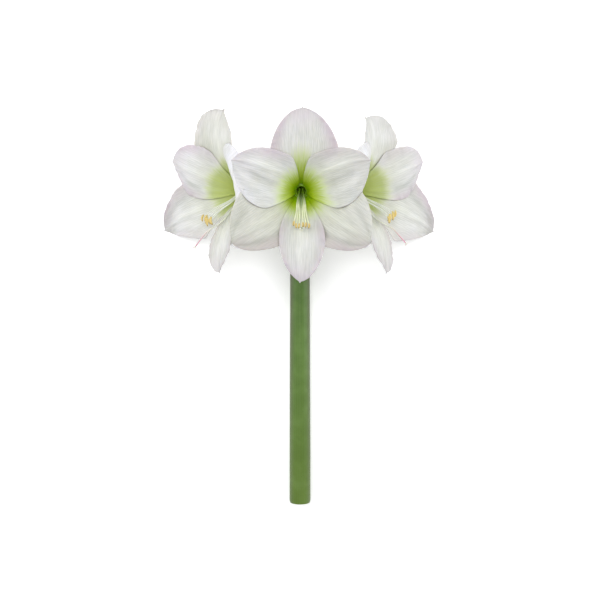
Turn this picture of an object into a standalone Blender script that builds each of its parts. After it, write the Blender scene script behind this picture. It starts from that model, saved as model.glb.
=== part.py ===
"""Amaryllis stem: one cut hollow stem with three open white blooms, lying on its back.

Units are metres and Z is up. The stem runs along +Y from its cut end to the blooms, and +X is the right side
seen from above. Each bloom is modelled in a frame of its own: x to its right, y towards its top tepal and z
out of its mouth, with the origin at the throat. The tepals of a bloom lie on one trumpet-shaped surface, the
inner three a little in front of it and the outer three a little behind it, so that they overlap without
crossing.
"""

import bmesh
import bpy
import math
import numpy as np
from math import cos, pi, radians, sin
from mathutils import Matrix, Vector
from mathutils.geometry import interpolate_bezier

# Stem
STEM_LENGTH = 0.345
STEM_BASE_RADIUS = 0.0125
STEM_TOP_RADIUS = 0.0113
STEM_END_RADIUS = 0.0104
STEM_BORE_RADIUS = 0.0080
STEM_SOLID_TOP = 0.016
STEM_SIDES = 24
SEAT = 0.0003
TEPAL_SEAT = 0.0004

# Tepals
TEPAL_THICKNESS = 0.0008
TEPAL_ROWS = 14
TEPAL_COLUMNS = 9
WHORL_OFFSET = 0.0011
WHORL_SPREAD = 2.4
MIDRIB_DEPTH = 0.0010
RUFFLE = 0.0015
TIP_HALF_WIDTH = 0.0009
ROOT_ROOM = 0.86
ROOT_BLEND = 0.0015
PRESS_BLEND = 0.010

# Trumpet surface
THROAT_RADIUS = 0.0070
THROAT_ANGLE = 18.0
FLARE_LENGTH = 0.120
FLARE_POWER = 0.85
CURL_START = 0.055
CURL_SPAN = 0.055
STEPS = 48

# Perianth tube, pedicel and ovary
TUBE_LENGTH = 0.017
TUBE_FLOOR = 0.0135
TUBE_WALL = 0.0017
TUBE_SIDES = 20
PEDICEL_ROOT_RADIUS = 0.0041
PEDICEL_RADIUS = 0.0036
OVARY_RADIUS = 0.0062
OVARY_LENGTH = 0.017
TUBE_BASE_RADIUS = 0.0046
PEDICEL_SIDES = 12
PEDICEL_RINGS = 14

# Stamens and style
STAMEN_COUNT = 6
STAMEN_RING_RADIUS = 0.0034
STAMEN_RING_DEPTH = 0.0040
FILAMENT_ROOT_RADIUS = 0.0008
FILAMENT_TIP_RADIUS = 0.0007
FILAMENT_GAP = 5.0
FILAMENT_PARTING = 2.5
FILAMENT_ROOT_PARTING = 20.0
FILAMENT_TURN = 0.014
FILAMENT_LIFT = 0.0050
THREAD_SINK = 0.024
ANTHER_LENGTH = 0.0075
ANTHER_RADIUS = 0.0014
STYLE_RADIUS = 0.0007
STYLE_LIFT = 0.0028
STYLE_TURN = 0.040
STIGMA_LENGTH = 0.0038

# Withered bracts
BRACT_LENGTH = 0.050
BRACT_HALF_WIDTH = 0.0085
BRACT_THICKNESS = 0.0008

# Where the blooms open, and how far they turn and nod
FRONT_THROAT = (0.0012, 0.3735, 0.0900)
LEFT_THROAT = (-0.0605, 0.3750, 0.0320)
RIGHT_THROAT = (0.0575, 0.3750, 0.0320)
NOD = 6.0
SIDE_TURN = 50.0
RIGHT_TWIST = 3.8

# Where each bloom's stamens end: azimuth, distance from the throat and height over the tepals
STAMEN_FANS = {"front": (270, 0.053, 0.012), "left": (250, 0.053, 0.018), "right": (290, 0.053, 0.018)}

# Angle to the bloom's axis that the surface reaches at FLARE_LENGTH, by azimuth
FRONT_FLARE = {90: 116, 157: 92, 212: 84, 270: 98, 328: 84, 23: 92}
LEFT_FLARE = {88: 118, 150: 96, 208: 94, 270: 96, 330: 76, 30: 76}

# Azimuth of the tepals that curl further outwards beyond CURL_START, and by how many degrees
LEFT_CURL = (0.0, 40.0)
RIGHT_CURL = (180.0, 40.0)

# Each tepal: azimuth, length and half-width, sweep of its tip round the axis, whorl (1 inner, -1 outer),
# share of its length at which it is widest, how blunt it ends, and where it differs the angle in radians
# that its two margins may take near the throat. A pair holds the value for the side of the lesser azimuth,
# then for the other side.
FRONT_TEPALS = {
    "top": dict(azimuth=91, length=0.1025, half=(0.0450, 0.0374), sweep=-0.0030, whorl=-1,
                widest=(0.44, 0.36), blunt=(1.73, 2.23), ease=(0.6, 0.55)),
    "upper_left": dict(azimuth=163, length=0.0983, half=(0.0319, 0.0336), sweep=-0.0130, whorl=1,
                       widest=(0.41, 0.6), blunt=(2.13, 2.16), ease=(0.65, 0.84), room=(1.25, 0.92)),
    "upper_right": dict(azimuth=17, length=0.0983, half=(0.0336, 0.0319), sweep=0.0130, whorl=1,
                        widest=(0.6, 0.41), blunt=(2.16, 2.13), ease=(0.84, 0.65), room=(0.92, 1.25)),
    "lower_left": dict(azimuth=211.5, length=0.1042, half=(0.0390, 0.0365), sweep=0.0045, whorl=-1,
                       widest=(0.42, 0.34), blunt=(2.57, 1.77), ease=(0.76, 0.56)),
    "lower_right": dict(azimuth=328.5, length=0.1042, half=(0.0365, 0.0390), sweep=-0.0045, whorl=-1,
                        widest=(0.34, 0.42), blunt=(1.77, 2.57), ease=(0.56, 0.76)),
    "bottom": dict(azimuth=269, length=0.1098, half=(0.0241, 0.0280), sweep=0.0004, whorl=1,
                   widest=(0.57, 0.6), blunt=(1.76, 1.18), ease=(0.74, 0.57), room=(0.75, 0.75)),
}
LEFT_TEPALS = {
    "top": dict(azimuth=79, length=0.1069, half=(0.0500, 0.0421), sweep=0.0080, whorl=-1, widest=(0.66, 0.7),
                blunt=(1.87, 1.72), ease=(1.1, 0.35)),
    "upper_left": dict(azimuth=151.5, length=0.0963, half=(0.0364, 0.0265), sweep=-0.0034, whorl=1,
                       widest=(0.43, 0.65), blunt=(2.28, 1), ease=(0.41, 0.81), room=(1, 0.86)),
    "upper_right": dict(azimuth=32, length=0.1020, half=0.0320, sweep=-0.0040, whorl=1, widest=0.56,
                        blunt=2.2, ease=0.5),
    "lower_left": dict(azimuth=199.5, length=0.1220, half=(0.0365, 0.0376), sweep=0.0049, whorl=-1,
                       widest=(0.46, 0.48), blunt=(1.89, 1), ease=(0.48, 0.81)),
    "lower_right": dict(azimuth=328, length=0.1060, half=0.0300, sweep=-0.0040, whorl=-1, widest=0.56,
                        blunt=2.2, ease=0.5),
    "bottom": dict(azimuth=274, length=0.1044, half=(0.0191, 0.0420), sweep=-0.0007, whorl=1,
                   widest=(0.75, 0.6), blunt=(2.8, 1), ease=(0.42, 1.05), room=(0.75, 0.75)),
}
# How the right bloom differs from the left one seen in a mirror
RIGHT_CHANGES = {
    "top": dict(azimuth=101, length=0.0989, sweep=0.0048, half=(0.0441, 0.0489), blunt=(1.61, 1.13)),
    "upper_right": dict(azimuth=24, length=0.0943, sweep=0.0036, half=(0.0288, 0.0331), blunt=(1.04, 2.67)),
    "lower_right": dict(azimuth=335, length=0.1228, sweep=-0.0036, half=(0.0427, 0.0422), blunt=1.0),
    "bottom": dict(azimuth=267, length=0.1075, sweep=0.0039, half=(0.0348, 0.0172), blunt=(1.0, 1.38)),
}
MIRROR = {
    "top": "top",
    "bottom": "bottom",
    "upper_left": "upper_right",
    "upper_right": "upper_left",
    "lower_left": "lower_right",
    "lower_right": "lower_left",
}

# Colours
STEM_GREEN = (0.14, 0.24, 0.055)
PEDICEL_GREEN = (0.20, 0.32, 0.07)
TUBE_GREEN = (0.42, 0.55, 0.16)
TEPAL_WHITE = (0.80, 0.81, 0.79)
STAMEN_CREAM = (0.78, 0.76, 0.50)
STYLE_WHITE = (0.82, 0.72, 0.70)
BRACT_TAN = (0.50, 0.40, 0.26)


def clear_scene():
    for obj in list(bpy.data.objects):
        bpy.data.objects.remove(obj, do_unlink=True)


def ease(x):
    """Smooth step from 0 at 0 to 1 at 1."""
    x = np.clip(x, 0.0, 1.0)
    return x * x * (3.0 - 2.0 * x)


def material(name, colour, roughness):
    mat = bpy.data.materials.new(name)
    mat.use_nodes = True
    shader = mat.node_tree.nodes["Principled BSDF"]
    shader.inputs["Base Color"].default_value = (*colour, 1.0)
    shader.inputs["Roughness"].default_value = roughness
    shader.inputs["Metallic"].default_value = 0.0
    return mat


def add_object(name, points, faces, look, parent, smooth=True):
    """A mesh object from points and faces, with its faces turned outwards."""
    mesh = bpy.data.meshes.new(name)
    mesh.from_pydata([tuple(p) for p in points], [], faces)
    body = bmesh.new()
    body.from_mesh(mesh)
    bmesh.ops.recalc_face_normals(body, faces=body.faces)
    body.to_mesh(mesh)
    body.free()
    mesh.polygons.foreach_set("use_smooth", [smooth] * len(mesh.polygons))
    mesh.materials.append(look)
    obj = bpy.data.objects.new(name, mesh)
    obj.parent = parent
    bpy.context.scene.collection.objects.link(obj)
    return obj


class Trumpet:
    """Surface of revolution whose angle to the axis grows with the distance from the throat, by azimuth."""

    def __init__(self, flare, curl=(0.0, 0.0)):
        self.curl_azimuth, self.curl_degrees = radians(curl[0]), curl[1]
        azimuths = sorted(flare)
        self.first = radians(azimuths[0])
        self.turns = np.radians(np.array(azimuths + [azimuths[0] + 360.0]) - azimuths[0])
        self.ends = np.array([flare[a] for a in azimuths] + [flare[azimuths[0]]], float)

    def end_angle(self, azimuth):
        turn = np.mod(azimuth - self.first, 2 * pi)
        i = np.clip(np.searchsorted(self.turns, turn, side="right") - 1, 0, len(self.turns) - 2)
        share = (turn - self.turns[i]) / (self.turns[i + 1] - self.turns[i])
        return self.ends[i] + (self.ends[i + 1] - self.ends[i]) * ease(share)

    def angle(self, along, azimuth):
        flared = (np.maximum(along, 0.0) / FLARE_LENGTH) ** FLARE_POWER
        window = np.maximum(np.cos(azimuth - self.curl_azimuth), 0.0)
        curl = self.curl_degrees * window * ease((along - CURL_START) / CURL_SPAN)
        return np.radians(THROAT_ANGLE + (self.end_angle(azimuth) - THROAT_ANGLE) * flared + curl)

    def profile(self, along, azimuth):
        """Radius and height at a distance along the surface, summed in small steps."""
        along, azimuth = np.broadcast_arrays(np.asarray(along, float), np.asarray(azimuth, float))
        steps = (np.arange(STEPS) + 0.5) / STEPS
        angles = self.angle(along[..., None] * steps, azimuth[..., None])
        step = along / STEPS
        return THROAT_RADIUS + np.sin(angles).sum(-1) * step, np.cos(angles).sum(-1) * step

    def point(self, along, azimuth):
        radius, height = self.profile(along, azimuth)
        return np.stack([radius * np.cos(azimuth), radius * np.sin(azimuth), height], -1)

    def normal(self, along, azimuth):
        """Unit normal towards the inside of the bloom."""
        angle = self.angle(along, azimuth)
        inwards = -np.cos(angle)
        return np.stack([inwards * np.cos(azimuth), inwards * np.sin(azimuth), np.sin(angle)], -1)


def pair(value):
    """The value for a tepal's two sides."""
    return value if isinstance(value, tuple) else (value, value)


def half_widths(x, spec):
    """Half-width of a tepal on its two sides, at the share x of its length."""
    made = []
    for half, widest, blunt, power in zip(*(pair(spec[key]) for key in ("half", "widest", "blunt", "ease"))):
        rise = 0.2 + 0.8 * np.sin(pi / 2 * np.clip(x / widest, 0, 1)) ** 1.25
        fall = np.clip((x - widest) / (1 - widest), 0, 1) ** blunt
        made.append(half * np.where(x < widest, rise, np.maximum(0, 1 - fall) ** power))
    return made


def soft_least(a, b):
    """The lesser of two lengths, with a soft change from one to the other."""
    return -ROOT_BLEND * np.log(np.exp(-a / ROOT_BLEND) + np.exp(-b / ROOT_BLEND))


def tepal_surface(trumpet, spec, seed):
    """Middle surface of one tepal as rows of points from root to tip, in the bloom's frame.

    The tepal is drawn flat, then laid on the trumpet as if on the cone that touches it at the midrib.
    """
    share = np.linspace(0, 1, TEPAL_ROWS)
    share = 0.35 * np.sin(pi / 2 * share) + 0.65 * share
    along = TEPAL_SEAT + share * (spec["length"] - TEPAL_SEAT)
    azimuth = radians(spec["azimuth"])
    radius, _ = trumpet.profile(along, np.full_like(along, azimuth))
    rooms = spec.get("room", (ROOT_ROOM, ROOT_ROOM))
    halves = (np.maximum(half, TIP_HALF_WIDTH) for half in half_widths(share, spec))
    narrow, wide = (soft_least(half, room * radius) for half, room in zip(halves, rooms))
    along, across = np.meshgrid(along, np.linspace(-1, 1, TEPAL_COLUMNS), indexing="ij")
    share = (along - TEPAL_SEAT) / (spec["length"] - TEPAL_SEAT)
    side = across * np.where(across < 0, narrow[:, None], wide[:, None]) + spec["sweep"] * share**1.6
    slant_sine = np.sin(trumpet.angle(along, np.full_like(along, azimuth)))
    slant = radius[:, None] / slant_sine
    reach = np.hypot(slant, side)
    turned = azimuth + np.arctan2(side, slant) / slant_sine
    distance = along + reach - slant
    raised = tepal_offset(share, across, spec["whorl"], seed)
    return trumpet.point(distance, turned) + trumpet.normal(distance, turned) * raised[..., None]


def tepal_offset(share, across, whorl, seed):
    """Height of a tepal over the trumpet: its whorl, the wave of its margins and the groove of its midrib."""
    phase = np.random.default_rng(seed).uniform(0, 2 * pi, 4)
    turns = 2 * pi * 2.5 * share
    wave = np.sin(turns + np.where(across < 0, phase[0], phase[1]))
    wave = wave + 0.5 * np.sin(1.9 * turns + np.where(across < 0, phase[2], phase[3]))
    margin = np.abs(across) ** 2.2 * ease((share - 0.22) / 0.35)
    groove = np.exp(-((across / 0.16) ** 2)) * ease((share - 0.03) / 0.2) * (1 - ease((share - 0.75) / 0.25))
    lifted = WHORL_OFFSET * (1 + WHORL_SPREAD * share) * whorl
    return lifted + RUFFLE * margin * (wave + 0.9 * whorl) - MIDRIB_DEPTH * groove


def press_down(points, lowest):
    """Flattens what would reach below the surface that the flower lies on, with a soft start."""
    above = np.maximum(points[..., 2] - lowest, 0.0)
    points[..., 2] = lowest + above * ease(above / PRESS_BLEND)
    return points


def surface_normals(grid):
    normal = np.cross(np.gradient(grid, axis=0), np.gradient(grid, axis=1))
    return normal / np.linalg.norm(normal, axis=-1, keepdims=True)


def blade(name, grid, thickness, look, parent):
    """A closed blade of even thickness round a grid of points, both faces cut along the same diagonals."""
    rows, columns = grid.shape[:2]
    offset = surface_normals(grid) * thickness / 2
    points = np.concatenate([(grid + offset).reshape(-1, 3), (grid - offset).reshape(-1, 3)])
    points[:, 2] = np.maximum(points[:, 2], 0.0)
    count = rows * columns
    faces = []
    for row in range(rows - 1):
        for column in range(columns - 1):
            a = row * columns + column
            b, c, d = a + 1, a + columns + 1, a + columns
            for triangle in ((a, b, c), (a, c, d)):
                faces.append(triangle)
                faces.append(tuple(count + i for i in reversed(triangle)))
    rim = list(range(columns))
    rim += [row * columns + columns - 1 for row in range(1, rows)]
    rim += [(rows - 1) * columns + column for column in range(columns - 2, -1, -1)]
    rim += [row * columns for row in range(rows - 2, 0, -1)]
    for a, b in zip(rim, rim[1:] + rim[:1]):
        faces.append((a, b, count + b, count + a))
    return add_object(name, points, faces, look, parent)


def frames_along(path, start=None, end=None):
    """Unit tangent and two cross directions at each point of a path, carried along without twist.

    start and end are the headings of its two ends, where they are known.
    """
    path = [Vector(p) for p in path]
    ends = [path[0]] + path[:-1], path[1:] + [path[-1]]
    tangents = [(after - before).normalized() for before, after in zip(*ends)]
    tangents[0] = start or tangents[0]
    tangents[-1] = end or tangents[-1]
    across = tangents[0].orthogonal().normalized()
    frames = []
    for tangent in tangents:
        across = (across - tangent * across.dot(tangent)).normalized()
        frames.append((tangent, across, tangent.cross(across)))
    return frames


def tube(path, radii, sides, start=None, end=None):
    """Points and faces of a closed tube of varying radius along a path."""
    points = []
    for centre, radius, (_, u, v) in zip(path, radii, frames_along(path, start, end)):
        for k in range(sides):
            turn = 2 * pi * k / sides
            points.append(Vector(centre) + (u * cos(turn) + v * sin(turn)) * radius)
    rings = len(path)
    faces = [tuple(reversed(range(sides))), tuple(range((rings - 1) * sides, rings * sides))]
    for ring in range(rings - 1):
        for k in range(sides):
            a, b = ring * sides + k, ring * sides + (k + 1) % sides
            faces.append((a, b, b + sides, a + sides))
    return points, faces


def curve_points(start, start_pull, end_pull, end, count):
    return interpolate_bezier(Vector(start), Vector(start_pull), Vector(end_pull), Vector(end), count)


def turned_profile(profile, sides):
    """Points and faces of a closed body turned from a closed profile of (radius, height) round the z axis."""
    points = []
    for radius, height in profile:
        for k in range(sides):
            turn = 2 * pi * k / sides
            points.append((radius * cos(turn), radius * sin(turn), height))
    faces = []
    for i in range(len(profile)):
        j = (i + 1) % len(profile)
        for k in range(sides):
            m = (k + 1) % sides
            faces.append((i * sides + k, i * sides + m, j * sides + m, j * sides + k))
    return points, faces


def joined(name, bodies, look, parent):
    """One solid from overlapping closed bodies, each given as points and faces."""
    first = add_object(name, *bodies[0], look, parent)
    points, faces = [], []
    for more_points, more_faces in bodies[1:]:
        faces += [tuple(i + len(points) for i in face) for face in more_faces]
        points += list(more_points)
    rest = add_object(name + "_added", points, faces, look, parent)
    rest.hide_render = True
    rest.hide_set(True)
    union = first.modifiers.new("Join", "BOOLEAN")
    union.operation = "UNION"
    union.solver = "EXACT"
    union.use_self = True
    union.object = rest
    return first


def make_stem(look, parent):
    """The hollow stem, open at its cut end, with the flat of its lowest side on the surface it lies on."""
    flat = cos(pi / STEM_SIDES)
    stations = [(0.0, STEM_BASE_RADIUS), (0.03, 0.0124), (0.10, 0.0122), (0.18, 0.0119), (0.26, 0.0116)]
    stations += [(0.32, STEM_TOP_RADIUS), (0.3415, STEM_TOP_RADIUS), (STEM_LENGTH, STEM_END_RADIUS)]
    bore_end = STEM_LENGTH - STEM_SOLID_TOP
    profile = [(r, y, max(r, STEM_TOP_RADIUS) * flat) for y, r in stations]
    bore = [(STEM_BORE_RADIUS, y, r * flat) for y, r in stations if y < bore_end - 0.01]
    bore += [(STEM_BORE_RADIUS, bore_end - 0.006, STEM_TOP_RADIUS * flat)]
    bore += [(STEM_BORE_RADIUS * 0.55, bore_end, STEM_TOP_RADIUS * flat)]
    rings = profile[::-1] + bore
    points = []
    for radius, y, height in rings:
        for k in range(STEM_SIDES):
            turn = 2 * pi * (k + 0.5) / STEM_SIDES - pi / 2
            points.append((radius * cos(turn), y, height + radius * sin(turn)))
    faces = [tuple(range(STEM_SIDES)), tuple(range((len(rings) - 1) * STEM_SIDES, len(rings) * STEM_SIDES))]
    for ring in range(len(rings) - 1):
        for k in range(STEM_SIDES):
            a, b = ring * STEM_SIDES + k, ring * STEM_SIDES + (k + 1) % STEM_SIDES
            faces.append((a, b, b + STEM_SIDES, a + STEM_SIDES))
    return add_object("stem", points, faces, look, parent)


def make_bract(name, side, look, parent):
    """A withered bract that stands off the stem's top and hangs back along it."""
    axis_height = STEM_TOP_RADIUS * cos(pi / STEM_SIDES)
    out = STEM_TOP_RADIUS + SEAT * 2 + BRACT_THICKNESS / 2
    start = (out, 0.3370, 0.0)
    pulls = (out + 0.001, 0.3600, 0.0), (out + 0.012, 0.3440, 0.0)
    line = curve_points(start, *pulls, (out + 0.0085, 0.3060, 0.0), 11)
    grid = np.zeros((len(line), 5, 3))
    for row, centre in enumerate(line):
        share = row / (len(line) - 1)
        half = max(BRACT_HALF_WIDTH * (1 - share**1.5) ** 0.7, 0.0009)
        curl = STEM_TOP_RADIUS * (1 + 1.2 * share)
        for column in range(5):
            turn = (column - 2) / 2 * half / curl
            bow = curl * (1 - cos(turn))
            grid[row, column] = (side * (centre.x - bow), centre.y, axis_height + curl * sin(turn))
    return blade(name, grid, BRACT_THICKNESS, look, parent)


def tube_profile():
    """The perianth tube's wall as a closed profile, with a lip square to the trumpet for the tepals."""
    lean = radians(THROAT_ANGLE)
    outside = (THROAT_RADIUS + TUBE_WALL * cos(lean), -TUBE_WALL * sin(lean))
    inside = (THROAT_RADIUS - TUBE_WALL * cos(lean), TUBE_WALL * sin(lean))
    outer = [outside, (0.0071, -0.0055), (0.0056, -0.0110), (TUBE_BASE_RADIUS, -TUBE_LENGTH)]
    inner = [(0.0030, -TUBE_FLOOR), (0.0042, -0.0080), (0.0046, -0.0040), inside]
    return outer, inner


def make_perianth_tube(name, place, look, parent):
    outer, inner = tube_profile()
    points, faces = [], []
    rings = outer[::-1] + inner[::-1]
    for radius, height in rings:
        for k in range(TUBE_SIDES):
            turn = 2 * pi * k / TUBE_SIDES
            points.append(place @ Vector((radius * cos(turn), radius * sin(turn), height)))
    last = (len(rings) - 1) * TUBE_SIDES
    faces = [tuple(range(TUBE_SIDES)), tuple(range(last, last + TUBE_SIDES))]
    for ring in range(len(rings) - 1):
        for k in range(TUBE_SIDES):
            a, b = ring * TUBE_SIDES + k, ring * TUBE_SIDES + (k + 1) % TUBE_SIDES
            faces.append((a, b, b + TUBE_SIDES, a + TUBE_SIDES))
    return add_object(name, points, faces, look, parent)


def pedicel_radius(from_end):
    """Radius of the stalk and ovary, by the distance that is left to the perianth tube."""
    swell = np.exp(-(((from_end - 0.45 * OVARY_LENGTH) / (0.42 * OVARY_LENGTH)) ** 2))
    neck = ease(1 - from_end / OVARY_LENGTH)
    widened = (OVARY_RADIUS - PEDICEL_RADIUS) * swell + (TUBE_BASE_RADIUS - PEDICEL_RADIUS) * neck * (1 - swell)
    return PEDICEL_RADIUS + widened


def make_pedicel(name, root, root_pull, place, look, parent):
    """The flower stalk from the stem's end, with the ovary where it meets the perianth tube."""
    out = (place.to_3x3() @ Vector((0, 0, 1))).normalized()
    end = place @ Vector((0, 0, -TUBE_LENGTH - SEAT))
    reach = (Vector(root) - end).length
    path = curve_points(root, root_pull, end - out * reach * 0.45, end, PEDICEL_RINGS)
    left = [0.0]
    for a, b in zip(path[::-1], path[-2::-1]):
        left.insert(0, left[0] + (b - a).length)
    radii = [float(pedicel_radius(distance)) for distance in left]
    radii[0] = PEDICEL_ROOT_RADIUS
    points, faces = tube(path, radii, PEDICEL_SIDES, Vector((0, 1, 0)), out)
    return add_object(name, points, faces, look, parent)


def leaning_path(trumpet, reach, low_rise, end_rise, bend, azimuths, turn_at, root, count):
    """A thread that leaves the tube straight, sinks towards the lower tepal and lifts away from it at its end.

    azimuths are where it lies at first and where it ends, and it turns from one to the other past turn_at.
    """
    path = [Vector(root)]
    for i in range(count):
        share = (i + 1) / count
        along = reach * share
        azimuth = azimuths[0] + (azimuths[1] - azimuths[0]) * float(ease((along - turn_at) / 0.025))
        rise = low_rise + (end_rise - low_rise) * share**bend
        low = Vector(trumpet.point(along, azimuth) + trumpet.normal(along, azimuth) * rise)
        straight = Vector((root[0], root[1], along * 0.9))
        path.append(straight.lerp(low, float(ease(along / THREAD_SINK))))
    return path


def make_stamens(name, trumpet, place, seed, fan, look, parent):
    """Six filaments with their anthers, rooted in a thin ring inside the tube, that end in a fan."""
    rng = np.random.default_rng(seed)
    inner, outer = STAMEN_RING_RADIUS - 0.0007, STAMEN_RING_RADIUS + 0.0007
    low, high = -STAMEN_RING_DEPTH - 0.0006, -STAMEN_RING_DEPTH + 0.0010
    ring = [(outer, low), (outer, high), (inner, high), (inner, low)]
    bodies = [turned_profile(ring, 18)]
    for k in range(STAMEN_COUNT):
        place_in_fan = k - (STAMEN_COUNT - 1) / 2
        root_azimuth = radians(270 + 60 * place_in_fan)
        parting = math.copysign(1, place_in_fan)
        wide = radians(270 + FILAMENT_GAP * place_in_fan + FILAMENT_ROOT_PARTING * parting)
        closed = radians(fan[0] + FILAMENT_GAP * place_in_fan + FILAMENT_PARTING * parting)
        reach = fan[1] * (1 + 0.03 * rng.uniform(-1, 1))
        rise = fan[2] * (1 + 0.06 * rng.uniform(-1, 1))
        around = STAMEN_RING_RADIUS * cos(root_azimuth), STAMEN_RING_RADIUS * sin(root_azimuth)
        root = (*around, -STAMEN_RING_DEPTH)
        path = leaning_path(trumpet, reach, FILAMENT_LIFT, rise, 1.2, (wide, closed), FILAMENT_TURN, root, 8)
        radii = np.linspace(FILAMENT_ROOT_RADIUS, FILAMENT_TIP_RADIUS, len(path))
        bodies.append(tube(path, radii, 6))
        turn = rng.uniform(-0.3, 0.3)
        upright = place.to_3x3().inverted() @ Vector((sin(turn), cos(turn), 0.0))
        bodies.append(make_anther(path[-1], path[-1] - path[-2], upright))
    bodies = [([place @ Vector(p) for p in points], faces) for points, faces in bodies]
    return joined(name, bodies, look, parent)


def make_anther(tip, heading, across):
    """A short thick body that hangs across the filament's tip, bent a little like a bean."""
    heading = heading.normalized()
    stations = [(-0.5, 0.35), (-0.36, 0.82), (-0.12, 1.0), (0.12, 1.0), (0.36, 0.82), (0.5, 0.35)]
    path = []
    for share, _ in stations:
        path.append(tip + across * ANTHER_LENGTH * share + heading * (0.0006 - 0.0045 * share * share))
    return tube(path, [ANTHER_RADIUS * size for _, size in stations], 6)


def make_style(name, trumpet, place, reach, rise, azimuth, look, parent):
    """The style with its three short stigma lobes."""
    azimuths = (radians(270), azimuth)
    root = (0, 0, -TUBE_FLOOR + SEAT)
    path = leaning_path(trumpet, reach, STYLE_LIFT, rise, 3.0, azimuths, STYLE_TURN, root, 12)
    path.insert(1, Vector((0, 0, -0.005)))
    bodies = [tube(path, np.linspace(STYLE_RADIUS * 1.15, STYLE_RADIUS, len(path)), 6)]
    heading, u, v = frames_along(path)[-1]
    root = path[-1] - heading * 0.0006
    for k in range(3):
        turn = 2 * pi * k / 3
        spread = (heading + (u * cos(turn) + v * sin(turn)) * 0.75).normalized()
        end = (spread + heading * -0.3).normalized()
        lobe = [root, root + spread * STIGMA_LENGTH * 0.6, root + end * STIGMA_LENGTH]
        bodies.append(tube(lobe, [0.0006, 0.0006, 0.00035], 6))
    bodies = [([place @ Vector(p) for p in points], faces) for points, faces in bodies]
    return joined(name, bodies, look, parent)


def make_bloom(name, trumpet, tepals, place, seed, style, looks, parent):
    for number, (which, spec) in enumerate(tepals.items()):
        grid = tepal_surface(trumpet, spec, seed + number)
        grid = grid @ np.array(place.to_3x3()).T + np.array(place.translation)
        grid = press_down(grid, TEPAL_THICKNESS / 2)
        blade(f"{name}_tepal_{which}", grid, TEPAL_THICKNESS, looks["tepal"], parent)
    make_perianth_tube(f"{name}_tube", place, looks["tube"], parent)
    make_stamens(f"{name}_stamens", trumpet, place, seed, STAMEN_FANS[name], looks["stamen"], parent)
    make_style(f"{name}_style", trumpet, place, *style, looks["style"], parent)


def mirrored(tepals, flare):
    """The same bloom seen in a mirror: left and right change places."""
    other = {}
    for which, spec in tepals.items():
        changed = {key: value[::-1] if isinstance(value, tuple) else value for key, value in spec.items()}
        changed.update(azimuth=(180 - spec["azimuth"]) % 360, sweep=-spec["sweep"])
        other[MIRROR[which]] = changed
    return other, {(180 - azimuth) % 360: angle for azimuth, angle in flare.items()}


def bloom_place(throat, turn, twist=0.0):
    """Where a bloom stands: turned to its side, nodding, and twisted about the vertical."""
    rotation = Matrix.Rotation(radians(turn), 4, "Y") @ Matrix.Rotation(radians(NOD), 4, "X")
    return Matrix.Translation(Vector(throat)) @ Matrix.Rotation(radians(twist), 4, "Z") @ rotation


def centre_on_origin(root):
    """Centres the bounding box of the whole over the origin."""
    bpy.context.view_layer.update()
    corners = []
    for obj in root.children:
        if not obj.hide_render:
            corners += [obj.matrix_world @ Vector(c) for c in obj.bound_box]
    middle_x = (min(c.x for c in corners) + max(c.x for c in corners)) / 2
    middle_y = (min(c.y for c in corners) + max(c.y for c in corners)) / 2
    root.location = (-middle_x, -middle_y, 0.0)


def main():
    clear_scene()
    root = bpy.data.objects.new("amaryllis", None)
    bpy.context.scene.collection.objects.link(root)
    looks = {
        "stem": material("stem", STEM_GREEN, 0.45),
        "pedicel": material("pedicel", PEDICEL_GREEN, 0.45),
        "tube": material("tube", TUBE_GREEN, 0.5),
        "tepal": material("tepal", TEPAL_WHITE, 0.55),
        "stamen": material("stamen", STAMEN_CREAM, 0.6),
        "style": material("style", STYLE_WHITE, 0.5),
        "bract": material("bract", BRACT_TAN, 0.8),
    }
    make_stem(looks["stem"], root)
    make_bract("bract_left", -1, looks["bract"], root)
    make_bract("bract_right", 1, looks["bract"], root)

    axis_height = STEM_TOP_RADIUS * cos(pi / STEM_SIDES)
    seat = STEM_LENGTH + SEAT
    right_tepals, right_flare = mirrored(LEFT_TEPALS, LEFT_FLARE)
    for which, changes in RIGHT_CHANGES.items():
        right_tepals[which].update(changes)
    blooms = {
        "front": (FRONT_TEPALS, Trumpet(FRONT_FLARE), bloom_place(FRONT_THROAT, 0), 3),
        "left": (LEFT_TEPALS, Trumpet(LEFT_FLARE, LEFT_CURL), bloom_place(LEFT_THROAT, -SIDE_TURN), 13),
        "right": (right_tepals, Trumpet(right_flare, RIGHT_CURL),
                  bloom_place(RIGHT_THROAT, SIDE_TURN, RIGHT_TWIST), 23),
    }
    styles = {
        "front": (0.055, 0.0105, radians(272)),
        "left": (0.082, 0.015, radians(249)),
        "right": (0.082, 0.015, radians(291)),
    }
    roots = {
        "front": ((0, seat, axis_height + 0.0056), (0, seat + 0.026, axis_height + 0.012)),
        "left": ((-0.0050, seat, axis_height - 0.0026), (-0.0085, seat + 0.020, axis_height - 0.0036)),
        "right": ((0.0050, seat, axis_height - 0.0026), (0.0085, seat + 0.020, axis_height - 0.0036)),
    }
    for name, (tepals, trumpet, place, seed) in blooms.items():
        make_bloom(name, trumpet, tepals, place, seed, styles[name], looks, root)
        make_pedicel(f"{name}_pedicel", *roots[name], place, looks["pedicel"], root)
    centre_on_origin(root)


main()
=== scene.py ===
"""Amaryllis stem, dressed for looks: one cut green stalk with three open white blooms, lying on its back.

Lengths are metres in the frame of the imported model. Z is up from the surface that the flower lies on, the stalk
runs along +Y from its cut end, and +X is the right side seen from above. Each bloom has a frame of its own: x to
its right, y towards its top tepal and z out of its mouth, with the origin at the throat. Its six tepals lie on one
trumpet-shaped surface, the inner three a little in front of it and the outer three a little behind it.
"""

import math
import bpy
import numpy as np
from math import cos, pi, radians, sin
from mathutils import Matrix, Vector
from mathutils.geometry import interpolate_bezier


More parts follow.
